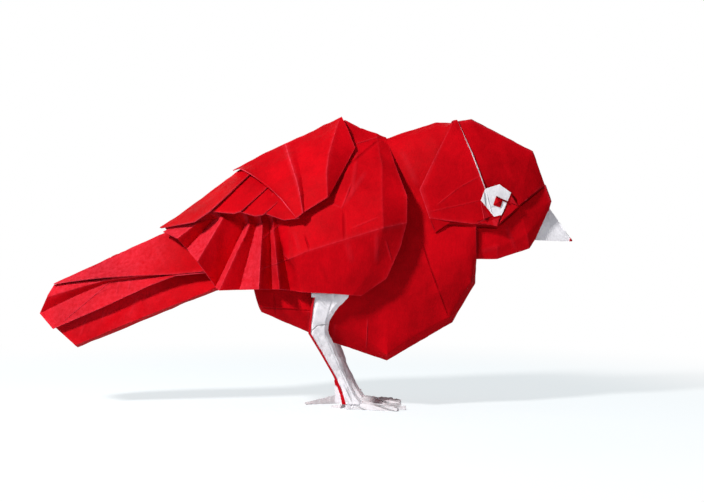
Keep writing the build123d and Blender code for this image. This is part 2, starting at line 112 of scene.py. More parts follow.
# Trunk: one line over the bird at each place, from the back ridge down to the keel
TRUNK_REAR = [(-20.2, 0, 68.5), (-20.1, 2, 66.4), (-19.9, 5.5, 60.6), (-18.4, 7.2, 48.8),
              (-16.0, 8.4, 39.6), (-14.9, 9.8, 35.6), (-13.6, 10.6, 30.9), (-12.9, 8, 29.1),
              (-13.1, 0, 29.5)]
TRUNK_RUMP = [(-1.7, 0, 79.2), (-1.6, 1.9, 76.9), (-1.5, 6.7, 70.4), (-0.8, 11.6, 55.7), (0.1, 13, 44.0),
              (0.4, 13.4, 35.8), (1.1, 13.2, 29.6), (1.1, 9, 23.1), (0.7, 0, 23.4)]
TRUNK_HIP = [(10.9, 0, 85.4), (10.9, 2.2, 82.8), (11.5, 7.9, 73.3), (11.0, 13.4, 57.9), (10.1, 14.6, 44.1),
             (9.2, 14.6, 34.2), (8.8, 13.4, 25.8), (8.4, 9, 20.2), (8.2, 0, 20.7)]
TRUNK_BELLY = [(24.2, 0, 80.1), (24.3, 2, 79.5), (24.9, 6.6, 69.8), (25.4, 11.2, 56.3), (24.8, 13.3, 44.1),
               (24.2, 13.7, 30.0), (24.2, 12, 16.5), (24.2, 8.6, 14.7), (24.4, 0, 15.3)]
TRUNK_CHEST = [(32.4, 0, 82.8), (32.3, 4, 82.7), (31.9, 7.7, 70.4), (34.3, 12, 50.8), (37.1, 12.7, 42.3),
               (39.7, 12.9, 35.2), (42.6, 11.4, 27.7), (43.4, 8.4, 26.0), (43.4, 0, 26.7)]
TRUNK_BREAST = [(39.0, 0, 84.9), (38.8, 4.8, 84.8), (38.1, 8.4, 72.4), (42.4, 12.3, 54.9),
                (45.6, 12.5, 47.0), (47.4, 12.2, 42.2), (48.8, 11.4, 37.9), (50.2, 8, 37.4),
                (49.6, 0, 37.6)]
TRUNK_THROAT = [(43.8, 0, 84.8), (43.6, 4.8, 84.7), (43.4, 8, 73.9), (48.0, 10.8, 60.7), (50.3, 11.6, 55.2),
                (50.3, 11.3, 50.4), (50.4, 10.8, 46.6), (50.6, 8.2, 44.8), (49.6, 0, 44.8)]

# Wings: lines from the back ridge down to the hem, from the leading edge to the first pleat
WING_LEADING = [(24.1, 0, 80.4), (26.6, 7.9, 72.5), (30.0, 14.9, 63.2), (29.8, 17.2, 55.7),
                (28.0, 17.7, 48.7), (23.9, 17.6, 39.4), (16.6, 17.6, 34.4)]
WING_RIDGE = [(21.1, 0, 81.6), (22.7, 10.6, 72.2), (22.6, 17.9, 62.7), (22.9, 21, 54.4),
              (22.3, 21, 47.4), (19.4, 20.2, 39.5), (13.9, 18.6, 34.6)]
WING_MIDDLE = [(11.8, 0, 85.5), (12.4, 11.5, 71.6), (11.3, 18.6, 60.6), (12.0, 20.9, 51.0),
               (11.3, 20.6, 45.7), (9.8, 20.5, 40.1), (8.7, 19.6, 35.1)]
WING_REAR = [(1.9, 0, 81.5), (3.9, 11.8, 68.1), (2.0, 18, 58.3), (1.1, 20.4, 47.6),
             (0.6, 20.1, 43.3), (2.0, 20, 39.5), (4.0, 19.4, 35.3)]
WING_FAINT = [(-4.0, 0, 78.8), (-4.3, 11, 65.7), (-5.9, 16.6, 56.2), (-4.5, 19.7, 45.2),
              (-3.5, 19.4, 42.1), (-2.1, 19.3, 38.9), (-0.6, 19, 35.5)]

# Pleat fan behind it: each pleat fold from the back ridge by the fan's root to the hem.
# The folds are valley and hill in turn.
PLEATS = [
    [(-7.0, 0, 77.5), (-8.5, 10.3, 63.9), (-8.1, 12.8, 56.1), (-4.3, 14.7, 35.8)],
    [(-10.0, 0, 76.0), (-10.8, 10.4, 63.4), (-9.2, 13.9, 55.7), (-7.2, 18.8, 36.3)],
    [(-12.7, 0, 74.6), (-12.9, 9.6, 63.0), (-10.2, 11.3, 55.4), (-9.5, 14.3, 36.0)],
    [(-15.4, 0, 73.3), (-14.7, 9.8, 62.7), (-12.3, 13.4, 55.3), (-13.2, 18.8, 36.3)],
    [(-17.8, 0, 72.1), (-17.1, 8.6, 62.4), (-14.1, 9.9, 55.1), (-19.1, 13.8, 35.8)],
    [(-20.2, 0, 70.4), (-19.2, 8.8, 62.1), (-16.2, 12, 54.6), (-24.8, 16.6, 35.8)],
    [(-23.8, 0, 67.7), (-21.9, 7.2, 61.2), (-17.5, 7.4, 54.9), (-26.4, 9.6, 36.4)],
    [(-28.3, 0, 64.3), (-27.3, 6.7, 59.7), (-24.1, 10.4, 56.6), (-31.4, 13.8, 44.1)],
    [(-32.8, 0, 60.9), (-31.3, 4.8, 57.9), (-26.8, 5, 56.4), (-35.1, 6, 47.4)],
    [(-37.3, 0, 57.6), (-35.5, 3.9, 55.7), (-32.0, 7.4, 55.0), (-37.8, 8.2, 50.6)],
    [(-42.2, 0, 53.7), (-41.8, 1, 53.1), (-41.4, 1.9, 52.8), (-42.4, 2.9, 52.4)],
]

# Long feathers between the wing and its covert, from the tip forward, each as lines from
# the back ridge to its free edge
FEATHER_TIP = [
    [(-43.7, 0, 53.1), (-43.5, 0.5, 53.1), (-43.2, 1, 53.0)],
    [(-38.9, 0, 56.1), (-38.3, 2.9, 55.6), (-37.6, 5.8, 54.2)],
    [(-33.4, 0, 60.1), (-33.0, 5, 58.2), (-32.5, 10.1, 55.2)],
    [(-27.7, 0, 64.3), (-27.6, 6, 62.1), (-27.7, 11.5, 58.5)],
    [(-21.7, 0, 68.7), (-21.6, 4.6, 67.1), (-21.5, 8.6, 64.3)],
    [(-16.6, 0, 72.7), (-16.5, 2.4, 71.5), (-16.4, 4.8, 69.2)],
]
FEATHER_SECOND = [
    [(-20.2, 0, 70.1), (-21.6, 6.5, 65.0), (-26.9, 10.3, 58.3)],
    [(-16.9, 0, 71.9), (-16.8, 7.7, 66.8), (-20.6, 14.4, 57.9)],
    [(-13.9, 0, 73.4), (-10.7, 9.6, 65.7), (-18.5, 14.8, 58.6)],
]
FEATHER_THIRD = [
    [(-14.5, 0, 73.3), (-13.8, 8.4, 65.7), (-18.9, 13.7, 58.5)],
    [(-12.1, 0, 74.3), (-10.2, 10.8, 64.5), (-14.5, 16, 57.3)],
    [(-9.4, 0, 75.5), (-6.7, 13.1, 62.2), (-12.0, 16.7, 57.7)],
]
FEATHER_FRONT = [
    [(-10.3, 0, 75.1), (-9.6, 11.2, 63.7), (-12.4, 15.5, 58.5)],
    [(-6.4, 0, 77.0), (-5.4, 13.9, 62.3), (-5.9, 18.1, 56.3)],
    [(-2.3, 0, 79.0), (-0.7, 15.8, 62.3), (-1.5, 19.2, 56.9)],
]

# Shoulder covert: the flap folded over the shoulder, as lines from the back ridge
COVERT_FRONT = [(10.9, 0, 86.1), (12.6, 4, 82.5), (14.8, 7.5, 76.8), (11.0, 12.6, 69.8), (7.2, 17.6, 62.9)]
COVERT_RIDGE = [(10.3, 0, 85.9), (8.7, 6.6, 81.0), (7.1, 11.4, 75.5), (6.4, 15.3, 69.9), (6.8, 18.4, 62.5)]
COVERT_STEP = [(-3.7, 0, 79.1), (-2.4, 7.4, 73.9), (-1.0, 12.5, 68.7), (-0.2, 16, 63.5), (0.1, 19, 58.4)]
COVERT_PLEAT = [(-6.1, 0, 78.1), (-4.4, 8.4, 73.4), (-2.2, 14.4, 67.0), (-1.2, 17.4, 62.9),
                (-0.4, 19.8, 58.0)]
COVERT_BACK = [(-13.0, 0, 74.8), (-11.0, 6.2, 70.9), (-8.1, 12, 65.7), (-5.0, 16.7, 61.2),
               (-2.2, 20.1, 56.6)]
COVERT_LOW = [(-17.5, 0, 72.4), (-15.2, 5, 70.3), (-12.7, 8.6, 67.7), (-9.8, 12.4, 64.9), (-6.8, 16, 62.1)]
COVERT_CORNER = [(-21.7, 0, 70.1), (-20.4, 1.8, 70.9), (-19.1, 3.4, 70.7), (-16.4, 6.2, 69.3),
                 (-11.4, 11, 66.3)]

# Tail: lines along it, from its end to the trunk
TAIL_TOP = [(-75.6, 0, 36.7), (-63.6, 0, 42.2), (-51.2, 0, 47.9), (-39.5, 0, 53.2), (-29.9, 0, 59.1),
            TRUNK_REAR[0]]
TAIL_SIDE = [(-75.5, 0.6, 36.7), (-63.4, 2.1, 40.6), (-50.9, 3.1, 43.8), (-39.2, 3.8, 46.8),
             (-29.6, 4.3, 50.7), TRUNK_REAR[2]]
TAIL_FLAP = [(-75.3, 1.8, 36.9), (-63.0, 4.8, 38.7), (-50.6, 6.1, 39.6), (-38.9, 6.8, 40.0),
             (-28.8, 7.1, 41.0), TRUNK_REAR[4]]
TAIL_STRIP = [(-77.2, 2.8, 33.2), (-68.8, 3.6, 35.6), (-60.5, 4.1, 37.9), (-46.2, 4.8, 39.7),
              (-29.8, 5.4, 41.8), (-19.3, 6.6, 43.1)]
TAIL_VALLEY = [(-79.8, 0.9, 27.9), (-69.0, 1.9, 33.1), (-58.7, 3.2, 37.6), (-45.7, 4.4, 39.4),
               (-29.5, 5.2, 41.2), (-19.4, 6.2, 42.5)]
TAIL_TONGUE = [(-75.4, 4, 23.5), (-59.9, 5.9, 30.3), (-45.9, 6.8, 36.8), (-38.3, 6.9, 39.7),
               (-28.8, 6.8, 40.6), (-19.3, 7, 41.3)]
TAIL_BELOW = [(-68.9, 3.5, 18.6), (-56.2, 4.6, 24.0), (-44.9, 5.4, 28.6), (-37.4, 5.8, 31.6),
              (-26.6, 6.1, 35.9), (-18.3, 6.5, 37.3)]
TAIL_BOTTOM = [(-68.6, 0, 17.7), (-56.4, 0, 22.7), (-45.3, 0, 27.3), (-37.8, 0, 30.4), (-26.9, 0, 34.8),
               (-18.5, 0, 36.1)]

# Head: face and cheek as lines over the crown, jaw as lines from the cheek to the chin
FACE_SLIT = [(45.4, 0, 85.3), (45.3, 4.8, 85.2), (48.7, 8.2, 76.9), (52.1, 10.2, 68.1), (53.9, 10.5, 61.3),
             (55.7, 10, 54.6)]
FACE_TEMPLE = [(49.6, 0, 85.9), (49.3, 4.9, 85.7), (53.7, 8, 77.5), (56.3, 9.4, 69.2), (58.1, 9.6, 62.2),
               (57.5, 9.7, 55.1)]
FACE_BROW = [(58.8, 0, 81.1), (58.4, 4.7, 81.0), (60.3, 7.4, 74.5), (61.1, 8.6, 68.0), (61.4, 8.9, 63.0),
             (60.2, 9.2, 57.6)]
FACE_FOREHEAD = [(67.8, 0, 76.3), (67.5, 3.9, 76.3), (66.7, 5.7, 73.0), (65.4, 7, 69.2), (64.4, 7.9, 65.1),
                 (63.1, 8.4, 60.5)]
FACE_BRIDGE = [(71.5, 0, 66.3), (71.3, 3, 66.3), (70.1, 4.3, 65.6), (68.8, 5.4, 64.8), (67.2, 6.4, 63.7),
               (65.4, 7.5, 62.2)]

CHEEK_EDGE = [(44.2, 0, 85.4), (44.0, 5.2, 85.3), (38.6, 9.6, 75.1), (33.7, 12.2, 65.1), (36.6, 12.9, 56.7)]
CHEEK_CREASE = [(44.6, 0, 85.4), (44.4, 5.2, 85.3), (41.8, 9.9, 75.3), (39.7, 12.7, 65.5),
                (41.7, 13.2, 56.0)]
CHEEK_FOLD = [(45.0, 0, 85.5), (44.7, 5.2, 85.4), (45.4, 9.7, 75.7), (46.2, 12.3, 65.7), (48.5, 12.5, 55.1)]
CHEEK_SLIT = [(45.4, 0, 85.5), (45.1, 5.2, 85.4), (49.1, 9.1, 75.8), (53.0, 11.3, 65.6), (56.8, 11.1, 54.5)]
CHEEK_TIP = [(36.6, 12.9, 57.1), (38.2, 12.45, 52.7), (43.8, 12.7, 56.4)]

JAW_BACK = [(50.4, 9.7, 56.0), (50.4, 10.1, 52.1), (50.4, 10, 48.3), (50.5, 9, 44.8), (51.7, 0, 45.1)]
JAW_MIDDLE = [(56.9, 9.2, 55.4), (56.9, 9.5, 51.8), (56.8, 9.4, 48.3), (56.8, 8.5, 44.8), (57.4, 0, 45.2)]
JAW_FRONT = [(63.3, 7.1, 61.5), (64.5, 7.7, 56.8), (65.7, 7.5, 52.0), (66.4, 6.8, 47.8), (66.7, 0, 48.3)]
JAW_BILL = [(71.3, 3, 66.4), (73.0, 3.2, 61.6), (72.2, 3.1, 58.6), (68.3, 4.6, 50.4), (68.2, 0, 50.8)]
BRIDGE_RIDGE = [(71.8, 0, 66.4), (73.5, 0, 61.5), (72.7, 0, 58.5)]

# Eye: a ring of the sheet's other face, round which the red face is folded, and a pupil in it
EYE_RING = [(53.0, 11.4, 65.5), (57.2, 10.6, 66.8), (60.7, 9.8, 64.3), (59.5, 10.1, 61.4),
            (57.9, 10.8, 57.8), (55.6, 11.3, 57.3), (51.7, 12.2, 62.1)]
EYE_FOLDS = {
    2: [(63.0, 8.5, 60.4)],
    3: [(63.0, 8.5, 60.4), (57.0, 10.9, 55.2)],
    4: [(56.6, 11.3, 54.6), (50.7, 12.9, 55.6)],
    5: [(52.6, 12.4, 56.5)],
}
PUPIL = [(56.3, 11, 63.2), (58.3, 10.5, 62.4), (57.5, 10.9, 60.0), (55.4, 11.4, 60.7)]
PUPIL_RISE = 0.75  # how far the pupil's middle stands out from its corners

# Beak
BEAK_TIP = (79.9, 0, 49.5)
BEAK_ROOT = [(71.7, 0, 61.0), (70.9, 2.1, 57.2), (67.2, 4, 50.1)]

# Legs: rear and front edge at each fold down the leg, and the limb's half thickness
LEG_REAR = [(3.1, 16.6, 38.4), (2.8, 16.6, 34.3), (2.2, 15.4, 30.4), (1.7, 13.7, 26.2), (1.4, 12.6, 23.0),
            (4.7, 11.2, 17.3), (8.7, 9.4, 10.0), (10.8, 8.2, 4.5), (11.5, 7.8, 1.5)]
LEG_FRONT = [(13.3, 16.4, 38.4), (13.2, 16.4, 34.2), (9.4, 15.4, 30.4), (7.1, 13.7, 26.4),
             (6.8, 12.6, 23.7), (9.5, 11.2, 17.6), (12.4, 9.4, 10.0), (15.1, 8.2, 4.4), (17.5, 7.8, 1.5)]
LEG_BULGE = [1.0, 1.1, 1.3, 1.3, 1.35, 1.15, 1.0, 1.1, 1.5]
# Corners of a leg's section: across it from the rear edge, as a share of its width, and
# out, as a share of its half thickness
LEG_PROFILE = [(0, 0.15), (0.16, 0.8), (0.8, 1.0), (1, 0.1), (0.8, -1.0), (0.16, -0.8)]

FAR_LEG_AHEAD = 0.8  # the far leg is set down this much in front of the near one

# Feet: the sole's middle stands below the leg's end
FOOT_OUT = 7.8
FOOT_ALONG = 14.0
SOLE_EDGE = 0.25  # height of a toe's side edges above the floor
TOE_TIP = 1.1  # height of the folded ridge at a toe's tip
TOE_WIDTH = 3.0
TOE_TIP_WIDTH = 1.5
HIND_TIP = 0.5  # height of a hind toe's tip, as a share of a front toe's
TOE_PLACES = [-HEEL, 0.08, 0.3, 0.52, 0.74, 0.9, 1.0]  # of its sections, as shares of its reach
# Upper corners of a toe's section: aside, as a share of its half width, and up, of its height
TOE_RIDGE = [(-0.3, 1.0), (0.16, 0.9)]
# Reach forward and sideways (outward) of each toe from the foot's middle, and how high
# its folded ridge stands there
NEAR_TOES = [(13.4, 5.2, 2.2), (15.8, 2.4, 2.5), (14.6, -3.4, 2.3), (-6.0, -3.6, 2.0)]
FAR_TOES = [(11.6, 2.6, 2.2), (14.0, -1.8, 2.5), (13.6, -6.2, 2.3), (-15.0, -5.4, 4.5)]

# Creases pressed into the finished bird: start and end as (along, up), how strong (a ridge
# above 0, a valley below it) and how wide. They lie on both sides of the bird. The paper is
# coloured paler along a ridge, like a rubbed fold, and darker along a valley: painted shade.
# Some valleys in the lists are painted shadows and painted shading, not creases, as noted at each list.
WING_CREASES = [
    [(0.2, 52.3), (1.7, 47.8), -0.5, 0.5],
    [(-12.3, 50.8), (-6.6, 55.7), 0.3, 0.5],
    [(-4.1, 51.9), (-2.4, 35.9), -0.25, 1.6],
    [(22.2, 80.9), (14.6, 78.6), 0.4, 0.35],
    [(22.2, 79.9), (12.2, 71.6), -0.35, 0.7],
    [(12.2, 71.6), (7.5, 63.2), -0.3, 0.7],
    [(11.6, 58.9), (11.9, 51.3), -0.35, 0.9],
    [(-12.7, 42.0), (-9.3, 43.3), 0.5, 0.35],
    [(-9.3, 43.3), (-4.6, 45.1), 0.45, 0.35],
    [(21.0, 52.9), (21.0, 44.4), 0.2, 1.2],
    [(12.2, 50.8), (13.9, 44.4), 0.15, 1.6],
    [(15.4, 76.9), (13.9, 63.5), 0.2, 1.0],
    [(18.0, 70.5), (11.3, 60.6), 0.2, 1.2],
    [(10.9, 60.1), (13.6, 67.0), 0.4, 0.5],
    [(8.4, 61.2), (10.9, 60.1), 0.3, 0.5],
    [(13.9, 54.3), (21.7, 57.5), 0.2, 0.5],
    [(23.7, 50.8), (25.5, 44.4), 0.25, 0.5],
    [(4.6, 44.4), (7.5, 37.9), -0.2, 1.4],
    [(-3.2, 53.1), (-1.2, 47.3), 0.15, 1.2],
]
# The strong valleys, from -0.6 down, are painted shadows along the edges of the face, of the flaps round
# the eye and of the throat
HEAD_CREASES_AND_SHADOWS = [
    [(38.8, 60.7), (45.0, 65.7), 0.2, 0.4],
    [(45.0, 65.7), (51.5, 69.2), 0.2, 0.4],
    [(36.2, 58.7), (52.1, 62.2), 0.15, 0.4],
    [(57.5, 73.3), (62.3, 65.1), -0.12, 1.4],
    [(59.4, 54.5), (62.4, 47.3), 0.15, 1.0],
    [(51.7, 46.8), (57.6, 48.6), 0.15, 1.4],
    [(60.8, 64.4), (63.1, 60.5), -0.8, 0.4],
    [(63.2, 60.1), (71.2, 66.1), -0.85, 0.5],
    [(57.1, 54.6), (63.3, 59.9), -0.9, 0.6],
    [(50.4, 54.4), (56.9, 54.0), -0.8, 0.6],
    [(59.8, 61.2), (57.0, 55.3), -0.9, 0.45],
    [(50.9, 55.6), (55.3, 57.3), -0.7, 0.45],
    [(50.7, 54.2), (50.8, 45.0), -0.6, 0.8],
    [(36.8, 56.5), (38.1, 53.2), 0.5, 0.3],
]
# Its valleys are painted shading on the white ring, beside its crease and round the pupil
RING_CREASES_AND_SHADE = [
    [(53.1, 65.1), (55.2, 57.6), 0.35, 0.25],
    [(53.0, 64.7), (53.5, 60.1), -0.6, 0.5],
    [(53.4, 60.4), (55.0, 58.0), -0.3, 0.4],
    [(58.5, 61.2), (57.6, 59.5), -0.45, 0.6],
    [(55.0, 60.0), (56.2, 60.1), -0.5, 0.3],
]
# The valleys from (38.3, 52.5) to (50.3, 54.3) are painted shadows of the cheek's lower edge
TRUNK_CREASES_AND_SHADOWS = [
    [(18.5, 27.2), (18.1, 18.4), 0.4, 0.35],
    [(-12.9, 30.4), (-1.0, 29.8), -0.6, 0.45],
    [(-1.0, 29.8), (1.9, 29.6), -0.6, 0.45],
    [(-9.0, 34.7), (-8.8, 27.5), -0.3, 0.45],
    [(-1.0, 32.0), (-1.0, 29.9), -0.3, 0.4],
    [(28.7, 76.9), (33.4, 66.3), 0.15, 1.6],
    [(38.3, 52.5), (41.5, 55.0), -0.5, 0.5],
    [(41.5, 55.0), (50.3, 54.3), -0.75, 0.6],
    [(34.3, 50.8), (37.1, 42.3), -0.45, 0.45],
    [(37.1, 42.3), (39.7, 35.3), -0.5, 0.45],
    [(39.7, 35.3), (42.5, 27.8), -0.5, 0.45],
]
# The valley from (-74.2, 37.0) to (-57.5, 39.0) is a painted shadow of the top flap's edge
TAIL_CREASES_AND_SHADOWS = [
    [(-72.5, 25.6), (-58.4, 37.5), 0.55, 0.3],
    [(-66.1, 32.2), (-57.6, 36.4), 0.25, 0.4],
    [(-60.0, 29.6), (-61.0, 25.6), 0.2, 0.8],
    [(-55.1, 32.3), (-55.8, 28.1), -0.2, 0.8],
    [(-50.0, 33.5), (-52.7, 27.4), 0.15, 0.8],
    [(-65.4, 26.9), (-67.5, 21.3), 0.2, 0.8],
    [(-46.1, 35.3), (-48.5, 30.7), -0.15, 0.9],
    [(-74.2, 37.0), (-57.5, 39.0), -0.7, 0.45],
    [(-52.2, 38.5), (-52.8, 35.2), 0.35, 0.7],
    [(-55.8, 37.0), (-56.4, 33.4), 0.25, 0.5],
    [(-62.7, 43.4), (-55.9, 39.3), 0.1, 1.5],
    [(-46.5, 50.6), (-40.9, 41.8), 0.1, 1.2],
]

# Its valleys are painted shade: a dark line across the knee and long bands down the leg
LEG_CREASES_AND_SHADE = [
    [(2.1, 23.8), (3.7, 25.3), -0.9, 0.35],
    [(3.7, 25.3), (6.9, 25.9), -0.9, 0.35],
    [(4.2, 33.2), (8.3, 29.1), 0.5, 0.7],
    [(8.3, 33.2), (6.3, 26.5), -0.35, 0.5],
    [(3.3, 23.6), (11.8, 3.3), -0.12, 0.5],
    [(5.9, 23.0), (13.9, 3.9), -0.3, 0.4],
    [(11.8, 7.0), (14.2, 2.1), -0.6, 0.4],
    [(9.7, 6.4), (13.0, 1.5), 0.5, 0.5],
]
# All its lines are valleys, coloured darker along the toes: painted shade
TOE_CREASES = [
    [(18.1, 2.7), (28.8, 0.9), -0.7, 0.3],
    [(16.9, 3.6), (27.0, 3.0), -0.6, 0.3],
    [(19.8, 1.8), (27.6, -0.3), -0.7, 0.3],
    [(-0.1, 1.2), (8.3, 3.9), -0.5, 0.3],
    [(9.1, 0.9), (13.9, 2.4), -0.5, 0.3],
    [(15.1, 1.2), (19.0, -0.6), -0.6, 0.3],
]

UP = np.array([0.0, 0.0, 1.0])


class SongbirdSizes(bpy.types.PropertyGroup):
    """Sizes of the paper and of its folds"""

    paper: FloatProperty(
        name="Paper", description="Thickness of one layer", default=0.0003, min=0.0001, unit="LENGTH"
    )
    spacing: FloatProperty(
        name="Mesh spacing", description="Distance between mesh points", default=0.0007,
        min=0.0003, unit="LENGTH",
    )
    crumple: FloatProperty(
        name="Crumple", description="Height of the small dents in the paper", default=0.00016,
        min=0.0, unit="LENGTH",
    )
    seam: FloatProperty(
        name="Leg seam", description="Width of the red strip down the back of a leg",
        default=0.0005, min=0.0, unit="LENGTH",
    )


class SongbirdColours(bpy.types.PropertyGroup):
    """Colours of the sheet and of the stage"""

    red: FloatVectorProperty(
        name="Red face", description="Colour of the sheet's red face", subtype="COLOR",
        default=(0.465, 0.001, 0.005), min=0.0, max=1.0,
    )
    # Also the colour of the painted highlight on paper that faces the main lamp
    worn: FloatVectorProperty(
        name="Worn fold", description="Colour where a fold has rubbed", subtype="COLOR",
        default=(0.78, 0.06, 0.1), min=0.0, max=1.0,
    )
    white: FloatVectorProperty(
        name="White face", description="Colour of the sheet's other face", subtype="COLOR",
        default=(0.94, 0.92, 0.965), min=0.0, max=1.0,
    )
    floor: FloatVectorProperty(
        name="Floor", description="Colour of the floor", subtype="COLOR",
        default=(0.72, 0.75, 0.78), min=0.0, max=1.0,
    )


# Surfaces


def net(lines):
    """Fold lines as an array of points in millimetres: line, corner, (x, y, z)."""
    points = np.array(lines, float)
    points[..., 0] -= MIDDLE
    points[..., 1] *= -1.0
    return points


def over_the_back(points, layer=0):
    """Lines carried on over the ridge to the far side, each layer a little higher."""
    near = points + UP * (layer * STACK)
    far = near[:, :0:-1] * (1.0, -1.0, 1.0)
    return np.concatenate([far, near], axis=1)


def stations(gaps, spacing):
    """Places along a row of knots, in knots: evenly between knots, and one FOLD_HALF to
    each side of every knot, so that a fold has a narrow rounding of its own."""
    places = []
    for knot, gap in enumerate(gaps):
        band = min(FOLD_HALF / gap, 0.3)
        count = max(1, round(gap * (1 - 2 * band) / spacing))
        places.append([knot])
        places.append(knot + np.linspace(band, 1 - band, count + 1))
    places.append([len(gaps)])
    return np.concatenate(places)


def hats(places, count):
    """Shares of each knot at each place: 1 at the knot, falling straight to 0 at the next."""
    return np.clip(1 - np.abs(places[:, None] - np.arange(count)[None, :]), 0, None)


def relaxed(points, held, rounds):
    """Each point moves to the mean of its four neighbours, weighted by nearness, and is
    pulled back a little to where it began. Points in held stay."""
    start = points.copy()
    free = np.where(held, 0.0, 1.0)[1:-1, 1:-1, None]
    step_s = np.linalg.norm(np.diff(start, axis=0), axis=2) + 1e-6
    step_t = np.linalg.norm(np.diff(start, axis=1), axis=2) + 1e-6
    before_s, after_s = 1 / step_s[:-1, 1:-1, None], 1 / step_s[1:, 1:-1, None]
    before_t, after_t = 1 / step_t[1:-1, :-1, None], 1 / step_t[1:-1, 1:, None]
    for _ in range(rounds):
        mean_s = (points[:-2, 1:-1] * before_s + points[2:, 1:-1] * after_s) / (before_s + after_s)
        mean_t = (points[1:-1, :-2] * before_t + points[1:-1, 2:] * after_t) / (before_t + after_t)
        middle = points[1:-1, 1:-1]
        target = 0.5 * (mean_s + mean_t)
        target += PULL * (start[1:-1, 1:-1] - target)
        points[1:-1, 1:-1] = middle + free * (target - middle)
    return points


def across(points):
    """Unit normals of a grid, from the cross product of its two directions."""
    normals = np.cross(np.gradient(points, axis=0), np.gradient(points, axis=1))
    return normals / (np.linalg.norm(normals, axis=2, keepdims=True) + 1e-12)


def waves(points, size, seed):
    """A smooth random field between about -1 and 1: the sum of plane waves in random
    directions, each about size long."""
    rng = np.random.default_rng(seed)
    directions = rng.normal(size=(9, 3))
    directions *= (2 * math.pi / size) / np.linalg.norm(directions, axis=1, keepdims=True)
    phases = rng.uniform(0, 2 * math.pi, 9)
    return np.cos(points @ directions.T + phases).sum(axis=-1) / 4


def dents(points, size, seed):
    """Crumple of thin paper: soft hollows between sharp lines, as the size of a smooth
    field folded at zero."""
    folded = np.abs(waves(points, size, seed)) + 0.5 * np.abs(waves(points, size * 0.45, seed + 1))
    return 0.45 - folded


def pressed(points, creases):
    """Height of the creases at each point, as a tent across each line that fades out at
    both ends."""
    height = np.zeros(points.shape[:2])
    for start, end, strength, width in creases:
        a, b = (np.array(spot) - (MIDDLE, 0) for spot in (start, end))
        flat = points[..., ::2] - a
        length = np.linalg.norm(b - a)
        run = (b - a) / length
        along = flat @ run
        aside = np.abs(flat @ np.array([-run[1], run[0]]))
        ends = np.clip(np.minimum(along, length - along) / CREASE_END + 0.5, 0, 1)
        height += strength * ends * np.clip(1 - aside / (width + CREASE_SLOPE), 0, 1)
    return height


def marks(places, gaps, knot):
    """How near each place lies to a knot's fold: 1 on it, fading over a fold's rounding."""
    lengths = np.concatenate([[0.0], np.cumsum(gaps)])
    away = np.interp(places, np.arange(len(lengths)), lengths) - lengths[knot]
    return np.exp(-((away / (0.8 * FOLD_HALF)) ** 2))


def paper_grid(points, folds=(), sides=2, creases=(), rounds=260, dent=1.0, seed=1):
    """A fine grid stretched over a net. folds are (kind, number, first, last, wear): a line
    or a row that stays a sharp fold between two numbers the other way. On a net that goes
    over the back, which has 2 sides, they are counted from the ridge down both sides.
    Returns the grid and how worn each of its points is."""
    sizes = bpy.context.scene.songbird_sizes
    spacing = sizes.spacing / MM * 1.0
    gaps_s = np.linalg.norm(np.diff(points, axis=0), axis=2).mean(axis=1)
    gaps_t = np.linalg.norm(np.diff(points, axis=1), axis=2).mean(axis=0)
    s, t = stations(gaps_s, spacing), stations(gaps_t, spacing)
    grid = np.einsum("ai,bj,ijk->abk", hats(s, len(points)), hats(t, points.shape[1]), points)
    held = np.zeros(grid.shape[:2], bool)
    worn = np.zeros(grid.shape[:2])
    held[[0, -1]] = True
    held[:, [0, -1]] = True
    middle = (points.shape[1] - 1) // 2
    for kind, number, first, last, wear in folds:
        numbers = [(number, first, last)]
        if sides == 2:
            if kind == "row":
                numbers = [(middle + number, first, last), (middle - number, first, last)]
            else:
                numbers = [(number, middle + first, middle + last)]
                numbers.append((number, middle - last, middle - first))
        for at, low, high in numbers:
            if kind == "row":
                window = (s >= low - 1e-6) & (s <= high + 1e-6)
                held |= window[:, None] & (np.abs(t - at) < 1e-6)[None, :]
                near = window[:, None] * marks(t, gaps_t, at)[None, :]
            else:
                window = (t >= low - 1e-6) & (t <= high + 1e-6)
                held |= (np.abs(s - at) < 1e-6)[:, None] & window[None, :]
                near = marks(s, gaps_s, at)[:, None] * window[None, :]
            worn = np.maximum(worn, wear * near)
    grid = relaxed(grid, held, rounds)
    normals = across(grid)
    outward = np.sign(normals[..., 1:2] * np.where(grid[..., 1:2] < 0, -1, 1) + 1e-9)
    rim_s = np.minimum(s, s[-1] - s) * gaps_s.mean()
    rim_t = np.minimum(t, t[-1] - t) * gaps_t.mean()
    rim = np.minimum.outer(rim_s, rim_t)
    calm = np.clip(rim / CALM_RIM, 0, 1)
    lift = sizes.crumple / MM * dent * dents(grid, DENT_SIZE, seed) * calm
    lift += CREASE_HEIGHT * pressed(grid, creases)
    grid = grid + normals * outward * lift[..., None]
    worn = np.maximum(worn, EDGE_WEAR * np.exp(-((rim / EDGE_BAND) ** 2)))
    return grid, worn


def put_mesh(name, points, faces, worn, slots, slot_numbers=None, sharp=62):
    """A mesh object from points in millimetres, smooth but for edges bent by more than
    sharp degrees."""
    mesh = bpy.data.meshes.new(name)
    mesh.from_pydata((points * MM).astype(float), [], faces.tolist() if hasattr(faces, "tolist") else faces)
    attribute = mesh.attributes.new("worn", "FLOAT", "POINT")
    attribute.data.foreach_set("value", np.asarray(worn, np.float32))
    for slot in slots:
        mesh.materials.append(slot)
    if slot_numbers is not None:
        mesh.polygons.foreach_set("material_index", np.asarray(slot_numbers, np.int32))
    mesh.update()
    mesh.shade_smooth()
    mesh.set_sharp_from_angle(angle=math.radians(sharp))
    piece = bpy.data.objects.new(name, mesh)
    bpy.context.scene.collection.objects.link(piece)
    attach(piece, "root")
    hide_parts("folded_sheet")
    return piece


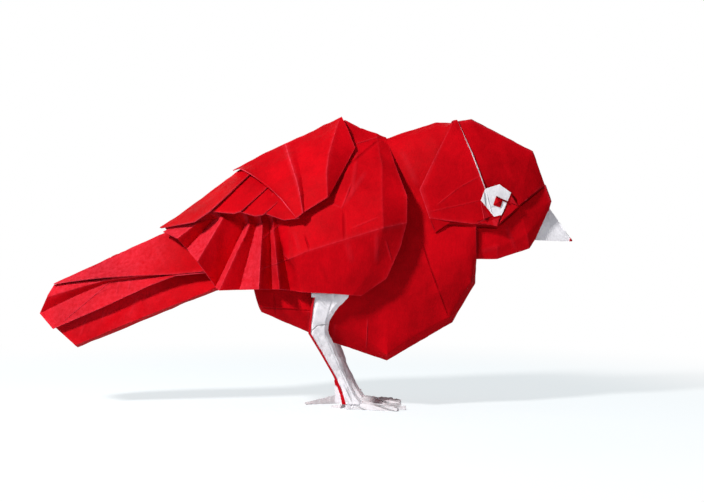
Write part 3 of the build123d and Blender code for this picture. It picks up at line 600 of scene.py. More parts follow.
def paper_sheet(name, grid, worn, slots, layers=1.0):
    """Paper round a grid: one skin half a thickness out along the normals, one half in,
    and a rim between them along the four borders. slots are outer face, inner face, rim."""
    rows, columns = grid.shape[:2]
    normals = across(grid)
    half = bpy.context.scene.songbird_sizes.paper / MM * layers / 2
    points = np.concatenate([(grid + normals * half).reshape(-1, 3),
                             (grid - normals * half).reshape(-1, 3)])
    number = np.arange(rows * columns).reshape(rows, columns)
    corners = [number[:-1, :-1], number[1:, :-1], number[1:, 1:], number[:-1, 1:]]
    quads = np.stack(corners, axis=-1).reshape(-1, 4)
    below = rows * columns
    ring = np.concatenate([number[:-1, 0], number[-1, :-1], number[:0:-1, -1], number[0, :0:-1]])
    following = np.roll(ring, -1)
    rim = np.stack([following, ring, ring + below, following + below], axis=-1)
    faces = np.concatenate([quads, quads[:, ::-1] + below, rim])
    outer_is_first = (normals[..., 1] * grid[..., 1]).mean() > 0
    first, second = (0, 1) if outer_is_first else (1, 0)
    kinds = np.repeat([first, second, 2], [len(quads), len(quads), len(rim)])
    return put_mesh(name, points, faces, np.tile(worn.ravel(), 2), slots, kinds)


def faceted(name, triangles, slots, layers=1.0, wear=0.0, split=3, sharp=25):
    """Paper of flat three-cornered facets: each facet is divided evenly, points shared by
    facets are merged, and the skins lie half a thickness to each side along the mean
    normals, with a rim on every open edge."""
    places = [(i, j) for i in range(split + 1) for j in range(split + 1 - i)]
    order = {place: k for k, place in enumerate(places)}
    shares = np.array(places) / split
    upright = [(i, j) for i, j in places if i + j < split]
    small = [(order[i, j], order[i + 1, j], order[i, j + 1]) for i, j in upright]
    turned = [(i, j) for i, j in upright if i + j < split - 1]
    small += [(order[i + 1, j], order[i + 1, j + 1], order[i, j + 1]) for i, j in turned]
    small = np.array(small)
    corners = np.array(triangles, float)
    a, b, c = (corners[:, None, k] for k in range(3))
    cloud = (a + (b - a) * shares[None, :, :1] + (c - a) * shares[None, :, 1:]).reshape(-1, 3)
    faces = (small[None] + np.arange(len(corners))[:, None, None] * len(shares)).reshape(-1, 3)
    _, kept, merged = np.unique(np.round(cloud, 3), axis=0, return_index=True, return_inverse=True)
    points, faces = cloud[kept], merged.reshape(-1)[faces]
    normals = np.zeros_like(points)
    first, second, third = (points[faces[:, k]] for k in range(3))
    flat = np.cross(second - first, third - first)
    for k in range(3):
        np.add.at(normals, faces[:, k], flat)
    normals /= np.linalg.norm(normals, axis=1, keepdims=True) + 1e-12
    half = bpy.context.scene.songbird_sizes.paper / MM * layers / 2
    below = len(points)
    steps = np.concatenate([faces[:, [0, 1]], faces[:, [1, 2]], faces[:, [2, 0]]])
    known = {(i, j) for i, j in steps.tolist()}
    rim = np.array([(j, i, i + below, j + below) for i, j in steps.tolist() if (j, i) not in known])
    everything = faces.tolist() + (faces[:, ::-1] + below).tolist() + rim.tolist()
    kinds = [0] * len(faces) + [1] * len(faces) + [2] * len(rim)
    skins = np.concatenate([points + normals * half, points - normals * half])
    return put_mesh(name, skins, everything, np.full(len(skins), wear), slots, kinds, sharp)


def both(triangles):
    """The same facets on the far side, turned so that they still face outwards."""
    far = [[c * np.array([1.0, -1.0, 1.0]) for c in (a, b, d)][::-1] for a, b, d in triangles]
    return triangles, far


def corner(place):
    """A fold corner as a point on the near side, measured from the bird's middle."""
    return np.array([place[0] - MIDDLE, -place[1], place[2]])


def tube(name, sections, slots, dent=0.5, seed=1, rounds=12):
    """A limb through rings of corners: straight between rings and between corners, then
    each ring moves to the mean of its neighbours a few times, and both ends are closed.
    Nothing lies below the floor."""
    sizes = bpy.context.scene.songbird_sizes
    spacing = sizes.spacing / MM * LIMB_SPACING
    sections = np.array(sections, float)
    closed = np.concatenate([sections, sections[:, :1]], axis=1)
    gaps_s = np.linalg.norm(np.diff(closed, axis=0), axis=2).mean(axis=1)
    gaps_t = np.linalg.norm(np.diff(closed, axis=1), axis=2).mean(axis=0)
    s, t = stations(gaps_s, spacing), stations(gaps_t, spacing)[:-1]
    grid = np.einsum("ai,bj,ijk->abk", hats(s, len(closed)), hats(t, closed.shape[1]), closed)
    for _ in range(rounds):
        grid[1:-1] = 0.25 * grid[:-2] + 0.5 * grid[1:-1] + 0.25 * grid[2:]
    middle = grid.mean(axis=1, keepdims=True)
    outward = grid - middle
    outward /= np.linalg.norm(outward, axis=2, keepdims=True) + 1e-9
    grid = grid + outward * (sizes.crumple / MM * dent * dents(grid, LIMB_DENT_SIZE, seed))[..., None]
    grid[..., 2] = np.maximum(grid[..., 2], 0)
    rows, columns = grid.shape[:2]
    number = np.arange(rows * columns).reshape(rows, columns)
    after = np.roll(number, -1, axis=1)
    quads = np.stack([number[:-1], after[:-1], after[1:], number[1:]], axis=-1).reshape(-1, 4)
    ends = [rows * columns, rows * columns + 1]
    caps = np.stack([np.full(columns, ends[0]), after[0], number[0]], axis=-1).tolist()
    caps += np.stack([np.full(columns, ends[1]), number[-1], after[-1]], axis=-1).tolist()
    points = np.concatenate([grid.reshape(-1, 3), [grid[0].mean(axis=0), grid[-1].mean(axis=0)]])
    first, second, third = (points[quads[:, k]] - points[0] for k in range(3))
    volume = np.einsum("ij,ij->", first, np.cross(second, third))
    faces = quads.tolist() + caps
    if volume < 0:
        faces = [face[::-1] for face in faces]
    worn = np.tile(0.5 * marks(t, gaps_t, 0), (rows, 1)).ravel()
    return put_mesh(name, points, faces, np.append(worn, [0, 0]), slots)


# Paper


def node(tree, kind, x, y, inputs=(), **settings):
    """A shader node at a place, with each input linked to a socket or set to a value."""
    made = tree.nodes.new(kind)
    made.location = (x, y)
    for key, value in settings.items():
        setattr(made, key, value)
    for key, value in dict(inputs).items():
        if isinstance(value, bpy.types.NodeSocket):
            tree.links.new(value, made.inputs[key])
        else:
            made.inputs[key].default_value = value
    return made


def math_node(tree, operation, x, y, first, second=None, third=None):
    """The result of one sum on up to three sockets or values."""
    inputs = {0: first}
    if second is not None:
        inputs[1] = second
    if third is not None:
        inputs[2] = third
    return node(tree, "ShaderNodeMath", x, y, inputs, operation=operation).outputs[0]


def crease_lines(tree, place, creases):
    """Strength of the pressed creases, and of the painted shadow lines listed with them, at a
    point: for each one, how near the point lies to the line, times how far it lies from the
    line's ends, added up."""
    total = None
    for number, (start, end, strength, width) in enumerate(creases):
        y = -420 - 170 * number
        a, b = ((np.array(spot) - (MIDDLE, 0)) * MM for spot in (start, end))
        length = float(np.linalg.norm(b - a))
        run = (b - a) / length
        shifted = node(tree, "ShaderNodeVectorMath", -1500, y, {0: place, 1: (a[0], 0, a[1])},
                       operation="SUBTRACT")
        along = node(tree, "ShaderNodeVectorMath", -1330, y,
                     {0: shifted.outputs[0], 1: (run[0], 0, run[1])},
                     operation="DOT_PRODUCT").outputs["Value"]
        aside = node(tree, "ShaderNodeVectorMath", -1330, y - 60,
                     {0: shifted.outputs[0], 1: (-run[1], 0, run[0])},
                     operation="DOT_PRODUCT").outputs["Value"]
        away = math_node(tree, "ABSOLUTE", -1160, y - 60, aside)
        near = node(tree, "ShaderNodeMapRange", -1000, y - 60,
                    {0: away, 1: 0.0, 2: width * MM, 3: strength, 4: 0.0},
                    interpolation_type="SMOOTHERSTEP").outputs[0]
        rest = math_node(tree, "SUBTRACT", -1160, y, length, along)
        least = math_node(tree, "MINIMUM", -1000, y, along, rest)
        ends = node(tree, "ShaderNodeMapRange", -840, y,
                    {0: least, 1: LINE_END[0] * MM, 2: LINE_END[1] * MM}).outputs[0]
        if total is None:
            total = math_node(tree, "MULTIPLY", -680, y, near, ends)
        else:
            total = math_node(tree, "MULTIPLY_ADD", -680, y, near, ends, total)
    return total


def paper_material(name, colour, worn, creases=(), rough=0.56, hollow_shade=0.0, painted_highlight=None):
    """Matte craft paper: a cloudy tone and fine fibres in the colour, rubbed folds and edges,
    pressed creases, whose valleys are painted darker as shade, and a bump of fibres and of
    shallow wrinkles with sharp ridges. hollow_shade paints shade into the hollows of the
    wrinkles. painted_highlight is (strength, start, end): paper that faces LIT_SIDE is painted
    paler, a painted highlight, from start along the bird, and fully so from end on."""
    material = bpy.data.materials.new(name)
    material.use_nodes = True
    tree = material.node_tree
    shader = tree.nodes["Principled BSDF"]
    place = node(tree, "ShaderNodeTexCoord", -1700, 0).outputs["Object"]
    cloud = node(tree, "ShaderNodeTexNoise", -1200, 400,
                 {"Vector": place, "Scale": 70.0, "Detail": 5.0, "Roughness": 0.62}).outputs[0]
    grain = node(tree, "ShaderNodeTexNoise", -1200, 200,
                 {"Vector": place, "Scale": 900.0, "Detail": 3.0, "Roughness": 0.7}).outputs[0]
    turned = node(tree, "ShaderNodeMapping", -1400, 40,
                  {"Vector": place, "Rotation": (0.3, 0.9, 0.5), "Scale": (1.0, 1.0, 0.12)}).outputs[0]
    fibres = node(tree, "ShaderNodeTexNoise", -1200, 40,
                  {"Vector": turned, "Scale": 2200.0, "Detail": 2.0, "Distortion": 1.5}).outputs[0]
    wrinkles = node(tree, "ShaderNodeTexNoise", -1200, -140,
                    {"Vector": place, "Scale": 48.0, "Detail": 4.0, "Roughness": 0.55, "Distortion": 0.8},
                    noise_type="RIDGED_MULTIFRACTAL").outputs[0]
    tone = math_node(tree, "MULTIPLY_ADD", -1000, 300, cloud, 1.1, 0.43)
    tone = math_node(tree, "MULTIPLY_ADD", -840, 300, grain, 0.3,
                     math_node(tree, "SUBTRACT", -920, 220, tone, 0.15))
    tone = math_node(tree, "MULTIPLY_ADD", -700, 300, fibres, 0.22,
                     math_node(tree, "SUBTRACT", -780, 220, tone, 0.11))
    tinted = node(tree, "ShaderNodeVectorMath", -540, 300, {0: tuple(colour), "Scale": tone},
                  operation="SCALE").outputs[0]
    rubbed = node(tree, "ShaderNodeAttribute", -1200, -320, attribute_name="worn").outputs["Fac"]
    patchy = math_node(tree, "MULTIPLY_ADD", -1000, 120, grain, 1.5, -0.25)
    amount = math_node(tree, "MULTIPLY", -840, 120, rubbed, patchy)
    height = math_node(tree, "MULTIPLY", -700, -140, wrinkles, 0.3)
    # A crease bumps the paper; above 0 it is coloured paler like a rubbed fold, below 0 darker: painted
    # shade
    if creases:
        lines = crease_lines(tree, place, creases)
        raised = math_node(tree, "MAXIMUM", -520, -420, lines, 0.0)
        amount = math_node(tree, "MULTIPLY_ADD", -400, 0, raised, 0.28, amount)
        height = math_node(tree, "MULTIPLY_ADD", -400, -140, lines, 1.1, height)
        sunk = math_node(tree, "MINIMUM", -520, -560, lines, 0.0)
        shade = math_node(tree, "MULTIPLY_ADD", -400, -560, sunk, 0.55, 1.0)
        tinted = node(tree, "ShaderNodeVectorMath", -400, 300, {0: tinted, "Scale": shade},
                      operation="SCALE").outputs[0]
    # Painted highlight: paper that faces the main lamp is coloured paler, towards the worn colour
    if painted_highlight:
        strength, start, end = painted_highlight
        facing = node(tree, "ShaderNodeVectorMath", -760, 720,
                      {0: node(tree, "ShaderNodeNewGeometry", -940, 720).outputs["Normal"], 1: LIT_SIDE},
                      operation="DOT_PRODUCT").outputs["Value"]
        pale = node(tree, "ShaderNodeMapRange", -580, 720,
                    {0: facing, 1: 0.6, 2: 0.95, 3: 0.0, 4: strength}).outputs[0]
        along = node(tree, "ShaderNodeSeparateXYZ", -760, 900, {0: place}).outputs[0]
        here = node(tree, "ShaderNodeMapRange", -580, 900,
                    {0: along, 1: start, 2: end, 3: 0.0, 4: 1.0}).outputs[0]
        pale = math_node(tree, "MULTIPLY", -400, 800, pale, here)
        amount = math_node(tree, "MULTIPLY_ADD", -280, 120, pale, patchy, amount)
    amount = node(tree, "ShaderNodeClamp", -180, 120, {0: amount}).outputs[0]
    mixed = node(tree, "ShaderNodeMix", -60, 260, {"Factor": amount, 6: tinted, 7: tuple(worn) + (1.0,)},
                 data_type="RGBA").outputs[2]
    # Painted shade: the hollows of the wrinkles are coloured darker
    if hollow_shade:
        hollow_shading = node(tree, "ShaderNodeMapRange", -400, 560,
                     {0: wrinkles, 1: 0.35, 2: 1.3, 3: 1.0 - hollow_shade, 4: 1.0}).outputs[0]
        mixed = node(tree, "ShaderNodeVectorMath", 80, 400, {0: mixed, "Scale": hollow_shading},
                     operation="SCALE").outputs[0]
    height = math_node(tree, "MULTIPLY_ADD", -220, -140, grain, 0.10, height)
    height = math_node(tree, "MULTIPLY_ADD", -60, -140, fibres, 0.10, height)
    bump = node(tree, "ShaderNodeBump", 100, -140,
                {"Strength": 0.75, "Distance": 0.0006, "Height": height}).outputs[0]
    gloss = node(tree, "ShaderNodeMapRange", 0, 80,
                 {0: cloud, 1: 0.3, 2: 0.7, 3: rough - 0.05, 4: rough + 0.08}).outputs[0]
    tree.links.new(mixed, shader.inputs["Base Color"])
    tree.links.new(gloss, shader.inputs["Roughness"])
    tree.links.new(bump, shader.inputs["Normal"])
    shader.inputs["Specular IOR Level"].default_value = 0.02
    return material


def papers(outer="red_paper_plain", inner="red_paper_plain", rim="rubbed_edge"):
    """The materials of a piece: outer face, inner face and rim."""
    return [bpy.data.materials[name] for name in (outer, inner, rim)]


def white_papers(name):
    """The same for a piece that shows the sheet's white face on both sides."""
    return papers(name, name, "white_edge")


def fold_paper(name, points, folds, made_of, layers=1.0, **stretch):
    """A piece of paper stretched over a net, with sharp folds where folds say."""
    grid, worn = paper_grid(points, folds, **stretch)
    return paper_sheet(name, grid, worn, made_of, layers)


class SONGBIRD_OT_paper(bpy.types.Operator):
    """Make the materials of the sheet"""

    bl_idname = "songbird.paper"
    bl_label = "Mix the paper"

    def execute(self, context):
        c = context.scene.songbird_colours
        paper_material("red_paper_plain", c.red, c.worn)
        # The wing paper here and the tail paper below get a painted highlight where they face the main lamp
        paper_material("red_paper_wing", c.red, c.worn, WING_CREASES, painted_highlight=(0.5, -0.0075, -0.0095))
        paper_material("red_paper_head", c.red, c.worn, HEAD_CREASES_AND_SHADOWS)
        paper_material("red_paper_trunk", c.red, c.worn, TRUNK_CREASES_AND_SHADOWS)
        paper_material("red_paper_tail", c.red, c.worn, TAIL_CREASES_AND_SHADOWS, painted_highlight=(0.5, -0.036, -0.05))
        paper_material("rubbed_edge", tuple(0.55 * a + 0.45 * b for a, b in zip(c.red, c.worn)), c.worn)
        # The white papers get painted shade in the hollows of their wrinkles, most of it on the toes
        paper_material("white_paper_plain", c.white, (0.9, 0.88, 0.9), hollow_shade=0.05, rough=0.65)
        paper_material("white_paper_eye", c.white, (0.95, 0.94, 0.96), RING_CREASES_AND_SHADE, rough=0.65)
        # A darkened red for the pupil's slit: painted shade standing in for the slit's depth
        paper_material("red_paper_painted_shade", tuple(0.35 * v for v in c.red), c.red)
        paper_material("white_paper_leg", c.white, (0.93, 0.91, 0.94), LEG_CREASES_AND_SHADE, hollow_shade=0.12, rough=0.65)
        paper_material("white_paper_toe", c.white, (0.9, 0.88, 0.9), TOE_CREASES, hollow_shade=0.3, rough=0.65)
        paper_material("white_edge", (0.6, 0.5, 0.55), (0.9, 0.88, 0.9), rough=0.65)
        return {"FINISHED"}


class SONGBIRD_OT_trunk(bpy.types.Operator):
    """Fold the body from the throat back to the rump"""

    bl_idname = "songbird.trunk"
    bl_label = "Fold the trunk"

    def execute(self, context):
        lines = net([TRUNK_REAR, TRUNK_RUMP, TRUNK_HIP, TRUNK_BELLY, TRUNK_CHEST, TRUNK_BREAST,
                     TRUNK_THROAT])
        tuck = lines[:1] * (1, 0, 1) + (TUCK, 0, 0)
        lines = over_the_back(np.concatenate([tuck, lines]))
        folds = [("row", 0, 0, 7, 0.3), ("row", 7, 1, 7, 0.2), ("row", 6, 1, 3, 0.0),
                 ("line", 5, 3, 8, 0.0), ("line", 1, 0, 8, 0.4)]
        folds += [("line", k, 6, 8, 0.2) for k in (2, 3, 4, 6)]
        fold_paper("trunk", lines, folds, creases=TRUNK_CREASES_AND_SHADOWS, seed=3, made_of=papers("red_paper_trunk"))
        return {"FINISHED"}


class SONGBIRD_OT_wings(bpy.types.Operator):
    """Fold the two wings, with the pleat fan behind each"""

    bl_idname = "songbird.wings"
    bl_label = "Fold the wings"

    def execute(self, context):
        fan = []
        for ridge, shoulder, root, hem in PLEATS:
            root, hem = np.array(root, float), np.array(hem, float)
            fan.append([ridge, shoulder, root] + [root + (hem - root) * q for q in PLEAT_ROWS] + [hem])
        lines = net([WING_LEADING, WING_RIDGE, WING_MIDDLE, WING_REAR, WING_FAINT] + fan)
        folds = [("row", 0, 0, 15, 0.35), ("row", 3, 0, 5, 0.3), ("line", 1, 0, 3, 0.12)]
        folds += [("line", k, 2, 6, 0.35 if k % 2 == 0 else 0.0) for k in range(5, 16)]
        fold_paper("wings", over_the_back(lines, 1), folds, creases=WING_CREASES, dent=1.3, seed=11,
                   made_of=papers("red_paper_wing"))
        return {"FINISHED"}


class SONGBIRD_OT_feathers(bpy.types.Operator):
    """Fold the long feathers between the wing and its covert"""

    bl_idname = "songbird.feathers"
    bl_label = "Fold the feathers"

    def execute(self, context):
        stack = [("front", FEATHER_FRONT), ("third", FEATHER_THIRD), ("second", FEATHER_SECOND),
                 ("tip", FEATHER_TIP)]
        for number, (name, lines) in enumerate(stack):
            points = over_the_back(net(lines), 2 + number)
            fold_paper("feather_" + name, points, [("row", 0, 0, len(lines) - 1, 0.2)], dent=0.7,
                       seed=20 + number, made_of=papers())
        return {"FINISHED"}


class SONGBIRD_OT_covert(bpy.types.Operator):
    """Fold the flap over each shoulder"""

    bl_idname = "songbird.covert"
    bl_label = "Fold the shoulder covert"

    def execute(self, context):
        lines = net([COVERT_FRONT, COVERT_RIDGE, COVERT_STEP, COVERT_PLEAT, COVERT_BACK, COVERT_LOW,
                     COVERT_CORNER])
        folds = [("row", 0, 0, 6, 0.5), ("line", 1, 0, 4, 0.45), ("line", 2, 0, 4, 0.0),
                 ("line", 3, 0, 4, 0.95)]
        fold_paper("covert", over_the_back(lines, COVERT_LAYER), folds, seed=31, made_of=papers())
        return {"FINISHED"}


class SONGBIRD_OT_tail(bpy.types.Operator):
    """Fold the tail: its top flap, the zigzag under it and the lower flap"""

    bl_idname = "songbird.tail"
    bl_label = "Fold the tail"

    def execute(self, context):
        top = net([TAIL_TOP, TAIL_SIDE, TAIL_FLAP]).transpose(1, 0, 2)
        fold_paper("tail_top", over_the_back(top), [("row", 0, 0, 5, 0.4)], creases=TAIL_CREASES_AND_SHADOWS[-2:],
                   seed=41, made_of=papers("red_paper_tail"))
        zigzag = net([TAIL_SIDE, TAIL_STRIP, TAIL_VALLEY, TAIL_TONGUE])
        zigzag[0] += (0, TAIL_INSET, -TAIL_INSET)
        folds = [("line", 1, 0, 5, 0.6), ("line", 2, 0, 5, 0.2)]
        for side, name in SIDES:
            fold_paper("tail_folds_" + name, zigzag * (1, side, 1), folds, sides=1, creases=TAIL_CREASES_AND_SHADOWS,
                       dent=0.8, seed=43, made_of=papers("red_paper_tail"))
        valley, below, bottom = net([TAIL_VALLEY, TAIL_BELOW, TAIL_BOTTOM])
        near = np.array([valley * (1, TAIL_HOLLOW, 1), below, bottom])
        lower = np.concatenate([near, near[-2::-1] * (1, -1, 1)])
        fold_paper("tail_lower", lower,
                   [("line", 1, 0, 5, 0.2), ("line", 2, 0, 5, 0.3), ("line", 3, 0, 5, 0.2)], sides=1,
                   creases=TAIL_CREASES_AND_SHADOWS, dent=1.2, seed=45, made_of=papers("red_paper_tail"))
        return {"FINISHED"}


class SONGBIRD_OT_head(bpy.types.Operator):
    """Fold the face, the cheek flap, the jaw and the bridge over the beak"""

    bl_idname = "songbird.head"
    bl_label = "Fold the head"

    def execute(self, context):
        face = net([FACE_SLIT, FACE_TEMPLE, FACE_BROW, FACE_FOREHEAD, FACE_BRIDGE])
        folds = [("row", 0, 0, 4, 0.0), ("row", 1, 0, 4, 0.4)] + [("line", k, 0, 1, 0.1) for k in (1, 2, 3)]
        fold_paper("face", over_the_back(face), folds, creases=HEAD_CREASES_AND_SHADOWS, dent=1.2, seed=51,
                   made_of=papers("red_paper_head"))
        cheek = net([CHEEK_EDGE, CHEEK_CREASE, CHEEK_FOLD, CHEEK_SLIT])
        folds = [("row", 0, 0, 3, 0.0), ("row", 1, 0, 3, 0.4), ("line", 0, 1, 4, 0.7)]
        fold_paper("cheek", over_the_back(cheek, 2), folds, creases=HEAD_CREASES_AND_SHADOWS, seed=53,
                   made_of=papers("red_paper_head"))
        for side, name in SIDES:
            edge = net([CHEEK_SLIT[1:4]])[0] * (1, side, 1)
            upper, lower = (edge[0] + edge[1]) / 2, (edge[1] + edge[2]) / 2
            edge = np.array([edge[0], upper, edge[1], lower, edge[2]])
            wide = np.array([[width] for width in SLIT_WIDTHS]) * (1, 0, 0)
            strip = np.array([edge + (-SLIT_BACK, side * SLIT_IN, 0),
                              edge + wide + (0, -side * SLIT_RISE, 0)])
            fold_paper("slit_" + name, strip, [], sides=1, rounds=4, dent=0.2, seed=59,
                       made_of=white_papers("white_paper_plain"))
        near = net([JAW_BACK, JAW_MIDDLE, JAW_FRONT, JAW_BILL])
        jaw = np.concatenate([near, near[:, -2::-1] * (1, -1, 1)], axis=1)
        folds = [("row", 1, 0, 3, 0.4), ("line", 1, 0, 2, 0.1), ("line", 2, 0, 2, 0.1)]
        fold_paper("jaw", jaw, folds, creases=HEAD_CREASES_AND_SHADOWS, seed=55, made_of=papers("red_paper_head"))
        bill = near[-1][:3]
        ridge = net([BRIDGE_RIDGE])[0]
        fold_paper("bridge", np.array([bill, ridge, bill * (1, -1, 1)]), [("line", 1, 0, 2, 0.5)], sides=1,
                   seed=57, made_of=papers("red_paper_head"))
        for side, triangles in zip(("near", "far"), both([tuple(corner(place) for place in CHEEK_TIP)])):
            faceted("cheek_tip_" + side, triangles, papers("red_paper_head"), split=6)
        return {"FINISHED"}


class SONGBIRD_OT_eyes(bpy.types.Operator):
    """Fold the white ring of each eye, the red folds round it and the pupil"""

    bl_idname = "songbird.eyes"
    bl_label = "Fold the eyes"

    def execute(self, context):
        ring = [corner(place) for place in EYE_RING]
        centre = np.mean(ring, axis=0)
        white = [(centre, ring[i - 1], ring[i]) for i in range(len(ring))]
        red = []
        for side, outer in EYE_FOLDS.items():
            outer = [corner(place) + (0, FOLDS_SUNK, 0) for place in outer]
            points = [ring[side + 1], ring[side]] + outer
            red += [(points[0], b, c) for b, c in zip(points[1:], points[2:])]
        pupil = [corner(place) for place in PUPIL]
        peak = np.mean(pupil, axis=0) - (0, PUPIL_RISE, 0)
        dot = [(peak, pupil[i - 1], pupil[i]) for i in range(len(pupil))]
        slit = [tuple(corner(place) for place in facet) for facet in PUPIL_SLIT]
        for number, side in enumerate(("near", "far")):
            faceted("eye_ring_" + side, both(white)[number], white_papers("white_paper_eye"))
            faceted("eye_folds_" + side, both(red)[number], papers("red_paper_head", "red_paper_head"))
            faceted("pupil_" + side, both(dot)[number], papers("red_paper_head"))
            # A dark strip of painted shade where the slit runs from the pupil
            faceted("pupil_slit_" + side, both(slit)[number], papers("red_paper_painted_shade", "red_paper_painted_shade"),
                    layers=0.5)
            for name, wear, facets in EYE_FLAPS:
                facets = [tuple(corner(place) for place in facet) for facet in facets]
                faceted(f"eye_flap_{name}_{side}", both(facets)[number],
                        papers("red_paper_head", "red_paper_head"), layers=0.6, wear=wear)
        return {"FINISHED"}


class SONGBIRD_OT_beak(bpy.types.Operator):
    """Fold the beak"""

    bl_idname = "songbird.beak"
    bl_label = "Fold the beak"

    def execute(self, context):
        lines = over_the_back(net([BEAK_ROOT, [BEAK_TIP] * len(BEAK_ROOT)]))
        fold_paper("beak", lines, [("row", 0, 0, 1, 0.4)], dent=0.8, seed=61,
                   made_of=white_papers("white_paper_plain"))
        tip = lines.copy()
        tip[0] = lines[1] + (lines[0] - lines[1]) * TIP_SHARE
        fold_paper("beak_tip", tip, [("row", 0, 0, 1, 0.0)], dent=0.1, seed=63, made_of=papers(),
                   layers=1.8)
        return {"FINISHED"}


def leg_sections():
    """Rings of six corners down a leg: the rear edge, the outer face in two planes, the
    front edge and the inner face."""
    rings = []
    for rear, front, bulge in zip(LEG_REAR, LEG_FRONT, LEG_BULGE):
        rear, front = np.array(rear, float), np.array(front, float)
        ring = []
        for share, out in LEG_PROFILE:
            place = rear + (front - rear) * share
            ring.append(corner((place[0], place[1] + out * bulge, place[2])))
        rings.append(ring)
    return np.array(rings)


class SONGBIRD_OT_legs(bpy.types.Operator):
    """Fold the two legs, with the red edge of the sheet down the back of each"""

    bl_idname = "songbird.legs"
    bl_label = "Fold the legs"

    def execute(self, context):
        white = white_papers("white_paper_leg")
        seam = context.scene.songbird_sizes.seam / MM
        for name, side, ahead in (("near", 1, 0.0), ("far", -1, FAR_LEG_AHEAD)):
            rings = leg_sections() * (1, side, 1) + (ahead, 0, 0)
            tube("leg_" + name, rings, white, dent=1.4, seed=71)
            rear = net([LEG_REAR])[0][1:] * (1, side, 1) + (ahead, 0, 0)
            outward = np.array([0, -side, 0])
            wide = np.array([[seam * share] for share in SEAM_SHARES]) * (1, 0, 0)
            strip = np.array([rear + outward * out + wide * forward for out, forward in SEAM_LINES])
            strip[-1] += (SEAM_AHEAD, 0, 0)
            fold_paper("leg_edge_" + name, strip, [("line", 1, 0, 7, 0.3)], sides=1, rounds=10, dent=0.3,
                       seed=73, made_of=papers())
            cuff = net(LEG_CUFF) * (1, side, 1) + (ahead, 0, 0)
            fold_paper("leg_cuff_" + name, cuff, [], sides=1, rounds=20, dent=0.6, seed=75, made_of=white)
            for part, triangles, paper in (("tab", HEEL_TAB, white), ("spot", HEEL_SPOT, papers())):
                facets = net(triangles) * (1, side, 1) + (ahead, 0, 0)
                faceted(f"heel_{part}_{name}", facets, paper, layers=0.8, wear=0.1)
        return {"FINISHED"}


class SONGBIRD_OT_feet(bpy.types.Operator):
    """Fold the toes of both feet"""

    bl_idname = "songbird.feet"
    bl_label = "Fold the feet"

    def execute(self, context):
        white = white_papers("white_paper_toe")
        for name, side, reaches in (("near", 1, NEAR_TOES), ("far", -1, FAR_TOES)):
            ahead = FAR_LEG_AHEAD if side < 0 else 0.0
            start = np.array([FOOT_ALONG + ahead - MIDDLE, -side * FOOT_OUT, 0])
            for number, reach in enumerate(reaches):
                run = np.array([reach[0], -side * reach[1], 0])
                aside = np.cross(run, UP) / np.linalg.norm(run)
                rings = []
                for share in TOE_PLACES:
                    ahead_share = (share + HEEL) / (1 + HEEL)
                    width = TOE_WIDTH + (TOE_TIP_WIDTH - TOE_WIDTH) * ahead_share
                    tip = TOE_TIP if reach[0] > 0 else TOE_TIP * HIND_TIP
                    height = reach[2] + (tip - reach[2]) * ahead_share
                    place, half = start + run * share, aside * width / 2
                    rim, top = UP * SOLE_EDGE, UP * height
                    ridge = [place + half * out + top * up for out, up in TOE_RIDGE]
                    rings.append([place - half, place - half + rim, *ridge, place + half + rim,
                                  place + half])
                tube(f"toe_{name}_{number}", rings, white, dent=2.2, seed=80 + number, rounds=3)
        return {"FINISHED"}


# Stage, in metres, watts and degrees
FLOOR_REACH = 3.0
FLOOR_FADE = (0.09, 0.21)  # how far from the bird's middle it turns into the backdrop
LAMP_AIM = (0.0, 0.0, 0.045)
# Lamps: name, place, diameter, power, colour
LAMPS = [
    ("key", (-0.34, -0.35, 0.43), 0.09, 4.7, (1.0, 0.985, 0.965)),
    ("top", (-0.1, 0.1, 1.0), 0.7, 0.8, (1.0, 1.0, 1.0)),
    ("fill", (0.5, -0.9, 0.25), 0.5, 1.1, (0.95, 0.97, 1.0)),
    ("back", (-0.3, 0.8, 0.55), 0.4, 1.0, (1.0, 0.99, 0.98)),
]
VIEW_ALONG, VIEW_HEIGHT = (13.9 - MIDDLE) * MM, 0.0466  # the point that the camera looks at
VIEW_RISE, VIEW_DISTANCE = 3.0, 0.586667


